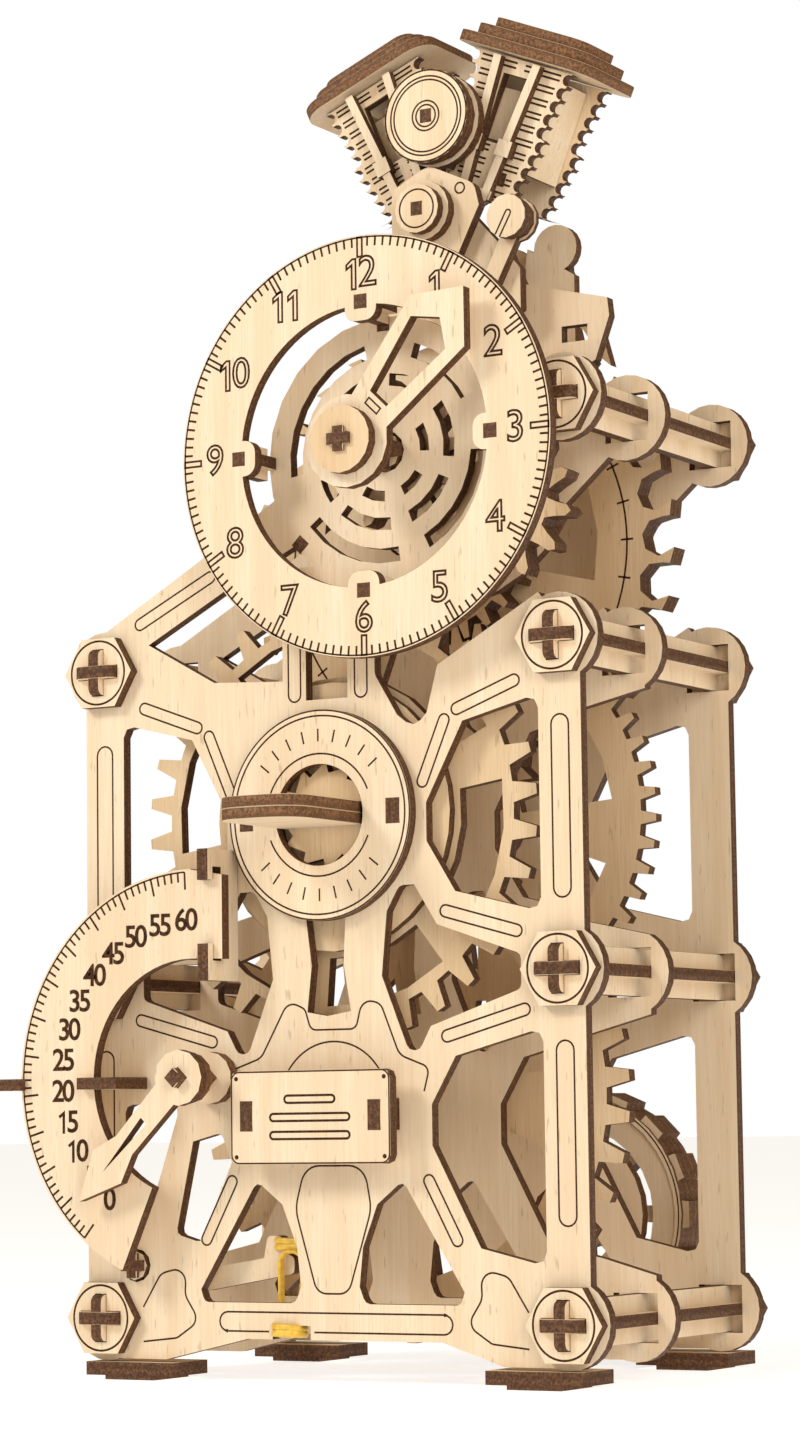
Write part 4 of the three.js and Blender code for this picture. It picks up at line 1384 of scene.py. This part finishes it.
@dataclass
class GoingTrain:
    """The wheels between the plates, the lever and its bands."""

    escape_face: float = 64.0
    lever_face: float = 0.6
    cover_face: float = 6.3
    cover_radius: float = 27.5
    sides: int = 10

    def build(self, finishes: Finishes) -> None:
        """Dress the wheels and the lever.

        Args:
            finishes: The finishes.
        """
        # painted shade: the wheels and the cover disc get the darker, more golden tone that stands
        # in for the shade between the plates
        for k, node in enumerate(("great_wheel", "cover_disc", "low_wheel", "rear_wheel",
                                  "escape_wheel", "petal_wheel")):
            put(node, finishes.birch("shaded_wheel", shift=k))
        put("lever", finishes.birch("sheet", shift=3))
        # painted shade: the anchor also gets the darker, more golden tone for the shade between the
        # plates
        put("anchor", finishes.birch("shaded_wheel", shift=6))
        escape = Engraving("escape_lines", self.escape_face, "escape", width=0.5)
        escape.loop(ring(ESCAPE, 48, 96))
        for k in range(32):
            escape.line([arc(ESCAPE, r, 11.25 * k, 11.25 * k, 1)[0] for r in (46.3, 49.7)])
        escape.finish(finishes)
        plus_end("lever_cross", LEVER, (2.95, 1.35), self.lever_face, finishes, "lever_arm")
        for k, (spot, turn) in enumerate((((17.5, 234.4), 0.0), ((-6.2, 183.6), 45.0))):
            peg_end(f"plate_peg_{k}", spot, (1.7, 1.7), FRONT_FACE, finishes, "frame", turn)
        for k, turn in enumerate((12, 132, 252)):
            spot = turned([(HUB[0] + self.cover_radius, HUB[1])], -turn, HUB)[0]
            peg_end(f"cover_peg_{k}", spot, (1.6, 1.9), self.cover_face, finishes, "great", -turn)

    def bands(self, finishes: Finishes) -> None:
        """Stretch the latex bands.

        Args:
            finishes: The finishes.
        """
        path = soft_rectangle((-16.3, -3.7), (-10.1, 15.9), 2.6)
        loop = self.band("stretched_band", path, 7.5, 0.8, finishes)
        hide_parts("rubber_band")
        self.wrap("band_on_lever", (-18.6, -9.9), (7.6, 13.4), 16.6, finishes)
        self.wrap("band_on_bar", (-15.9, -8.4), (1.6, 7.4), -3.2, finishes)

    def wrap(self, name: str, x: Point, y: Point, z: float, finishes: Finishes) -> None:
        """A band wound flat round something that runs to the right.

        Args:
            name: The piece's name.
            x: Its left and right ends, mm.
            y: Its front and rear, mm.
            z: Its height, mm.
            finishes: The finishes.
        """
        body = bmesh.new()
        for k in range(2):
            level = z + 1.5 * k
            path = soft_rectangle((x[0], y[0]), (x[1], y[1]), 2.4)
            count = len(path)
            rings = []
            for n, (u, v) in enumerate(path):
                along = (Vector(path[(n + 1) % count]) - Vector(path[n - 1])).normalized()
                tilt = 0.35 * math.sin(2 * math.pi * n / count + k)
                loop = []
                for side in range(self.sides):
                    t = 2 * math.pi * side / self.sides
                    out, up = 0.6 * math.cos(t), 0.8 * math.sin(t)
                    loop.append(DATUM.at(u + along.y * out, v - along.x * out, level + up + tilt))
                rings.append(loop)
            add_tube(body, rings)
        self.rubber(name, body, finishes)

    @staticmethod
    def rubber(name: str, body: bmesh.types.BMesh, finishes: Finishes) -> bpy.types.Object:
        """Turn a mesh into a latex piece on the frame.

        Args:
            name: The piece's name.
            body: The mesh, which is freed.
            finishes: The finishes.

        Returns:
            The piece.
        """
        made = object_from(name, body)
        made.data.materials.append(finishes.latex)
        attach(made, "frame")
        return made

    def band(self, name: str, path: Sequence[Point], y: float, radius: float,
             finishes: Finishes) -> bpy.types.Object:
        """A closed rubber loop in the front plane.

        Args:
            name: The piece's name.
            path: The loop's centreline, mm.
            y: Its depth, mm.
            radius: Half its thickness, mm.
            finishes: The finishes.

        Returns:
            The piece.
        """
        count = len(path)
        body = bmesh.new()
        rings = []
        for k, (x, z) in enumerate(path):
            before, after = Vector(path[k - 1]), Vector(path[(k + 1) % count])
            along = (after - before).normalized()
            across = Vector((-along.y, along.x))
            swell = radius * (1.0 + 0.06 * math.sin(5 * k))
            loop = []
            for side in range(self.sides):
                t = 2 * math.pi * side / self.sides
                u, v = swell * 0.75 * math.cos(t), swell * 1.5 * math.sin(t)
                loop.append(DATUM.at(x + across.x * u, y + v, z + across.y * u))
            rings.append(loop)
        add_tube(body, rings)
        return self.rubber(name, body, finishes)


@dataclass
class Pendulum:
    """The swinging rod with a motorcycle wheel for its bob."""

    circle: float = 29.0
    front_face: float = 92.4
    rear_face: float = 104.56

    def build(self, finishes: Finishes) -> None:
        """Dress the rod, the rim and the tyre.

        Args:
            finishes: The finishes.
        """
        put("pendulum_rod", finishes.birch("sheet", shift=5))
        put("pendulum_rim", finishes.birch("sheet", shift=4))
        put("pendulum_tyre", finishes.birch("thick", shift=4))
        rear = Engraving("tyre_lines", self.rear_face, "pendulum", Face.REAR)
        front = Engraving("tyre_front_lines", self.front_face, "pendulum")
        for lines in (rear, front):
            lines.loop(ring(BOB, self.circle, 96), 0.35).finish(finishes)


@dataclass
class Engine:
    """The V-shaped engine on top, with its filters, covers and moving pistons."""

    fins: int = 10
    fin_bottom: float = 21.5
    fin_top: float = 56.2
    fin_face: float = 35.0
    air_face: float = 23.0
    timing_face: float = 19.1
    case_face: float = 25.0
    oil_face: float = 21.0

    def build(self, finishes: Finishes) -> None:
        """Dress the engine's pieces and engrave them.

        Args:
            finishes: The finishes.
        """
        for k, node in enumerate(("crankcase_front", "crankcase", "exhaust_lobe", "air_filter",
                                  "timing_cover", "oil_filter")):
            put(node, finishes.birch("engine", shift=k))
        for name, side in (("left", -1), ("right", 1)):
            lean = math.radians(side * LEAN)
            axis = (math.sin(lean), 0.0, math.cos(lean))
            self.cylinder(name, side, finishes)
            put(f"piston_{name}", finishes.birch("engine", shift=1))
            put(f"push_rods_{name}", finishes.birch("sheet", shift=1))
            self.valve_cover(name, side, axis, finishes)
            self.fin_lines(name, side, finishes)
        self.round_lines(finishes)

    @staticmethod
    def half_width(height: float) -> float:
        """Half of a fin plate's width at a height over the crank, mm."""
        if height < 38.6:
            return 9.4 + (height - 21.5) * 0.215
        return 11.6 + (height - 38.6) * 0.17

    def fin_outline(self) -> list[Point]:
        """A fin plate's outline: ten fins a side, each a point over a round bite.

        Returns:
            The outline, upright over the crank axis.
        """
        step = (self.fin_top - self.fin_bottom) / self.fins
        right: list[Point] = []
        for k in range(self.fins):
            low = self.fin_bottom + step * k
            tip = self.half_width(low + step * 0.9)
            right += reversed(arc((tip - 0.7, low + step * 0.47), 1.4, 75, 290, 7))
            right += [(tip, low + step * 0.88), (tip, low + step * 0.97)]
        left = [(-u, w) for u, w in reversed(right)]
        return [(CRANK[0] + u, CRANK[1] + w) for u, w in right + left]

    def cylinder(self, name: str, side: int, finishes: Finishes) -> None:
        """Cut one cylinder: two fin plates and the pale walls between them.

        Args:
            name: left or right.
            side: -1 or 1.
            finishes: The finishes.
        """
        window = rectangle((CRANK[0] - 4.2, CRANK[1] + 35), (CRANK[0] + 4.2, CRANK[1] + 52))
        parts = []
        for k, low in enumerate((self.fin_face, 53.0)):
            parts.append(cut_sheet(f"fins_{k}", self.fin_outline(), [window], low, low + SHEET,
                                   finishes.birch("engine", shift=3 + k)))
        lean = math.radians(side * LEAN)
        for k, u in enumerate((-9.6, 7.1)):
            wall = rectangle((38.1, CRANK[1] + 30), (52.9, CRANK[1] + 54))
            finish = finishes.birch("engine", (math.cos(lean), 0, -math.sin(lean)), k)
            parts.append(cut_sheet(f"wall_{k}", wall, [], CRANK[0] + u, CRANK[0] + u + 2.5,
                                   finish, Plane.SIDE))
        spot = (CRANK[0] + 4.6, CRANK[1] + 27)
        parts.append(peg_end("fin_peg", spot, (1.5, 1.7), self.fin_face, finishes))
        self.stand("finned_" + name, f"cylinder_{name}", "engine_plywood", parts, side)

    def valve_cover(self, name: str, side: int, axis: Sequence[float], finishes: Finishes) -> None:
        """Stack one valve cover's three plates.

        Args:
            name: left or right.
            side: -1 or 1.
            axis: The cylinder's axis in the row frame.
            finishes: The finishes.
        """
        parts = []
        x, y = CRANK[0], 46.0
        base = CRANK[1] + self.fin_top
        for length, depth, low, high in ((19.5, 15.5, 0.4, 3.1), (16.5, 12.5, 3.15, 6.0),
                                         (13.5, 9.5, 6.05, 8.6)):
            rim = soft_rectangle((x - length, y - depth), (x + length, y + depth), depth * 0.42, 10)
            parts.append(cut_sheet(f"cover_{length}", rim, [], base + low, base + high,
                                   finishes.birch("thick", axis, 1), Plane.FLAT, 0.12))
        self.stand("rocker_" + name, f"valve_cover_{name}", "burnt_plywood", parts, side)

    @staticmethod
    def stand(name: str, node: str, slot: str, parts: Sequence[bpy.types.Object],
              side: int) -> None:
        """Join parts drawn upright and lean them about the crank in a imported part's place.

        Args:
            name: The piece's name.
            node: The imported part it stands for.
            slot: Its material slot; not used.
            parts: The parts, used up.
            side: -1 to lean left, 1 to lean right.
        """
        made = join(name, parts)
        pivot = DATUM.at(CRANK[0], 0.0, CRANK[1])
        spin = Matrix.Rotation(math.radians(side * LEAN), 4, "Y")
        made.data.transform(Matrix.Translation(pivot) @ spin @ Matrix.Translation(-pivot))
        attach(made, "frame")
        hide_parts(node)

    def fin_lines(self, name: str, side: int, finishes: Finishes) -> None:
        """Engrave paired lines for the cooling fins of one cylinder.

        Args:
            name: left or right.
            side: -1 or 1.
            finishes: The finishes.
        """
        lines = Engraving(f"fin_lines_{name}", self.fin_face, "frame", width=0.52)
        step = (self.fin_top - self.fin_bottom) / self.fins
        for k in range(self.fins):
            z = CRANK[1] + self.fin_bottom + step * (k + 0.3)
            half = self.half_width(z - CRANK[1]) - 2.5
            inner = 5.0 if 33.5 <= z - CRANK[1] <= 53 else 1.2
            for sign in (1, -1):
                ends = [(CRANK[0] + sign * inner, z), (CRANK[0] + sign * half, z)]
                lines.line(ends).line([(x, v + 1.25) for x, v in ends])
        lines.finish(finishes, side * LEAN, CRANK)

    def round_lines(self, finishes: Finishes) -> None:
        """Engrave the round covers and the line along the oil filter.

        Args:
            finishes: The finishes.
        """
        air = Engraving("air_filter_lines", self.air_face, "frame")
        for radius in (2.7, 3.7, 8.9, 9.8, 11.3):
            air.loop(ring(AIR_FILTER, radius))
        air.finish(finishes)
        peg_end("air_filter_peg", AIR_FILTER, (1.6, 1.7), self.air_face, finishes, "frame")
        cover = Engraving("timing_cover_lines", self.timing_face, "frame")
        cover.loop(ring(TIMING, 4.7, 40)).finish(finishes)
        case = Engraving("crankcase_lines", self.case_face, "frame")
        case.loop(ring((26.6, 270.8), 1.3, 24)).finish(finishes)
        peg_end("timing_cover_peg", TIMING, (1.6, 1.7), self.timing_face, finishes, "frame")
        oil = Engraving("oil_filter_lines", self.oil_face, "frame")
        oil.line(arc((41.9, 261.9), 0.7, -30, 150, 8) + [(38.4, 257.0)])
        oil.line([(42.5, 261.5), (39.5, 256.2)]).finish(finishes)


def put(node: str, material: bpy.types.Material) -> None:
    """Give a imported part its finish.

    Args:
        node: The part's name.
        material: The finish.
    """
    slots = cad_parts[node].data.materials
    slots.clear()
    slots.append(material)


# ---- studio -----------------------------------------------------------------------------------
@dataclass(frozen=True)
class Camera:
    """A long lens low on the right of the clock, tilted slightly up."""

    spot: tuple[float, float, float] = (472.03, -771.68, 45.39)
    azimuth: float = 30.22
    pitch: float = 6.02
    roll: float = -0.73
    lens: float = 96.27

    def place(self) -> None:
        """Set the scene's camera."""
        yaw, pitch, roll = (math.radians(v) for v in (self.azimuth, self.pitch, self.roll))
        forward = Vector((-math.sin(yaw) * math.cos(pitch), math.cos(yaw) * math.cos(pitch),
                          math.sin(pitch)))
        level = Vector((math.cos(yaw), math.sin(yaw), 0.0))
        above = level.cross(forward)
        right = level * math.cos(roll) + above * math.sin(roll)
        up = above * math.cos(roll) - level * math.sin(roll)
        data = bpy.data.cameras.new("camera")
        data.lens = self.lens
        data.sensor_width = 36.0
        data.clip_start = 0.01
        data.clip_end = 50.0
        made = bpy.data.objects.new("camera", data)
        bpy.context.scene.collection.objects.link(made)
        basis = Matrix((right, up, -forward)).transposed().to_4x4()
        made.matrix_world = Matrix.Translation(DATUM.at(*self.spot)) @ basis
        bpy.context.scene.camera = made


@dataclass(frozen=True)
class Studio:
    """A white sweep under soft light, the stronger lamp on the front left."""

    world: float = 0.38
    shade: tuple[float, float, float] = (1.0, 0.83, 0.62)
    floor_size: float = 12.0

    def build(self) -> None:
        """Make the floor, the world and the lights."""
        body = bmesh.new()
        bmesh.ops.create_grid(body, x_segments=2, y_segments=2, size=self.floor_size)
        floor = object_from("floor", body)
        floor.location.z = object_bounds()[0].z
        material, _, shader = start_material("pale_floor")
        shader.inputs["Base Color"].default_value = (0.6, 0.61, 0.62, 1.0)
        shader.inputs["Roughness"].default_value = 0.95
        shader.inputs["Emission Color"].default_value = (1.0, 1.0, 1.0, 1.0)
        shader.inputs["Emission Strength"].default_value = 0.72
        floor.data.materials.append(material)
        floor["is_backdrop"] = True
        self.sky()
        bpy.context.scene.view_settings.view_transform = "Standard"
        centre = (CAD_BOX[0] + CAD_BOX[1]) / 2
        self.lamp("key", centre, Vector((-0.75, -1.15, 0.85)), 0.42, 12.0)
        self.lamp("fill", centre, Vector((1.0, -0.75, 0.45)), 0.7, 6.8)

    def sky(self) -> None:
        """Surround the scene with white that lights the clock dimly and warmly."""
        world = bpy.data.worlds.new("studio")
        world.use_nodes = True
        tree = world.node_tree
        path = tree.nodes.new("ShaderNodeLightPath")
        tint = tuple(self.world * channel for channel in self.shade)
        colour = mix_colours(tree, path.outputs["Is Camera Ray"], tint, (1.0, 1.0, 1.0), 1.0)
        back = tree.nodes["Background"]
        tree.links.new(colour, back.inputs["Color"])
        back.inputs["Strength"].default_value = 1.0
        bpy.context.scene.world = world

    @staticmethod
    def lamp(name: str, target: Vector, offset: Vector, size: float, power: float) -> None:
        """Hang a soft square lamp that looks at the clock.

        Args:
            name: The lamp's name.
            target: What it looks at.
            offset: From the target to the lamp, metres.
            size: Its side, metres.
            power: Its power, watts.
        """
        data = bpy.data.lights.new(name, "AREA")
        data.size = size
        data.energy = power
        made = bpy.data.objects.new(name, data)
        made.location = target + offset
        made.rotation_euler = (-offset).to_track_quat("-Z", "Y").to_euler()
        bpy.context.scene.collection.objects.link(made)


def main() -> None:
    """Build every sub-assembly in order."""
    logging.basicConfig(level=logging.INFO, format="%(name)s: %(message)s")
    Camera().place()
    finishes = Finishes()
    carcass = Carcass()
    carcass.dress(finishes)
    carcass.engrave(finishes)
    stays = Stays()
    stays.build(finishes)
    stays.dress(finishes)
    HourDial().build(finishes)
    MinuteScale().build(finishes)
    WindingKey().build(finishes)
    NamePlate().build(finishes)
    train = GoingTrain()
    train.build(finishes)
    train.bands(finishes)
    Pendulum().build(finishes)
    Engine().build(finishes)
    Studio().build()


if __name__ == "__main__":
    main()
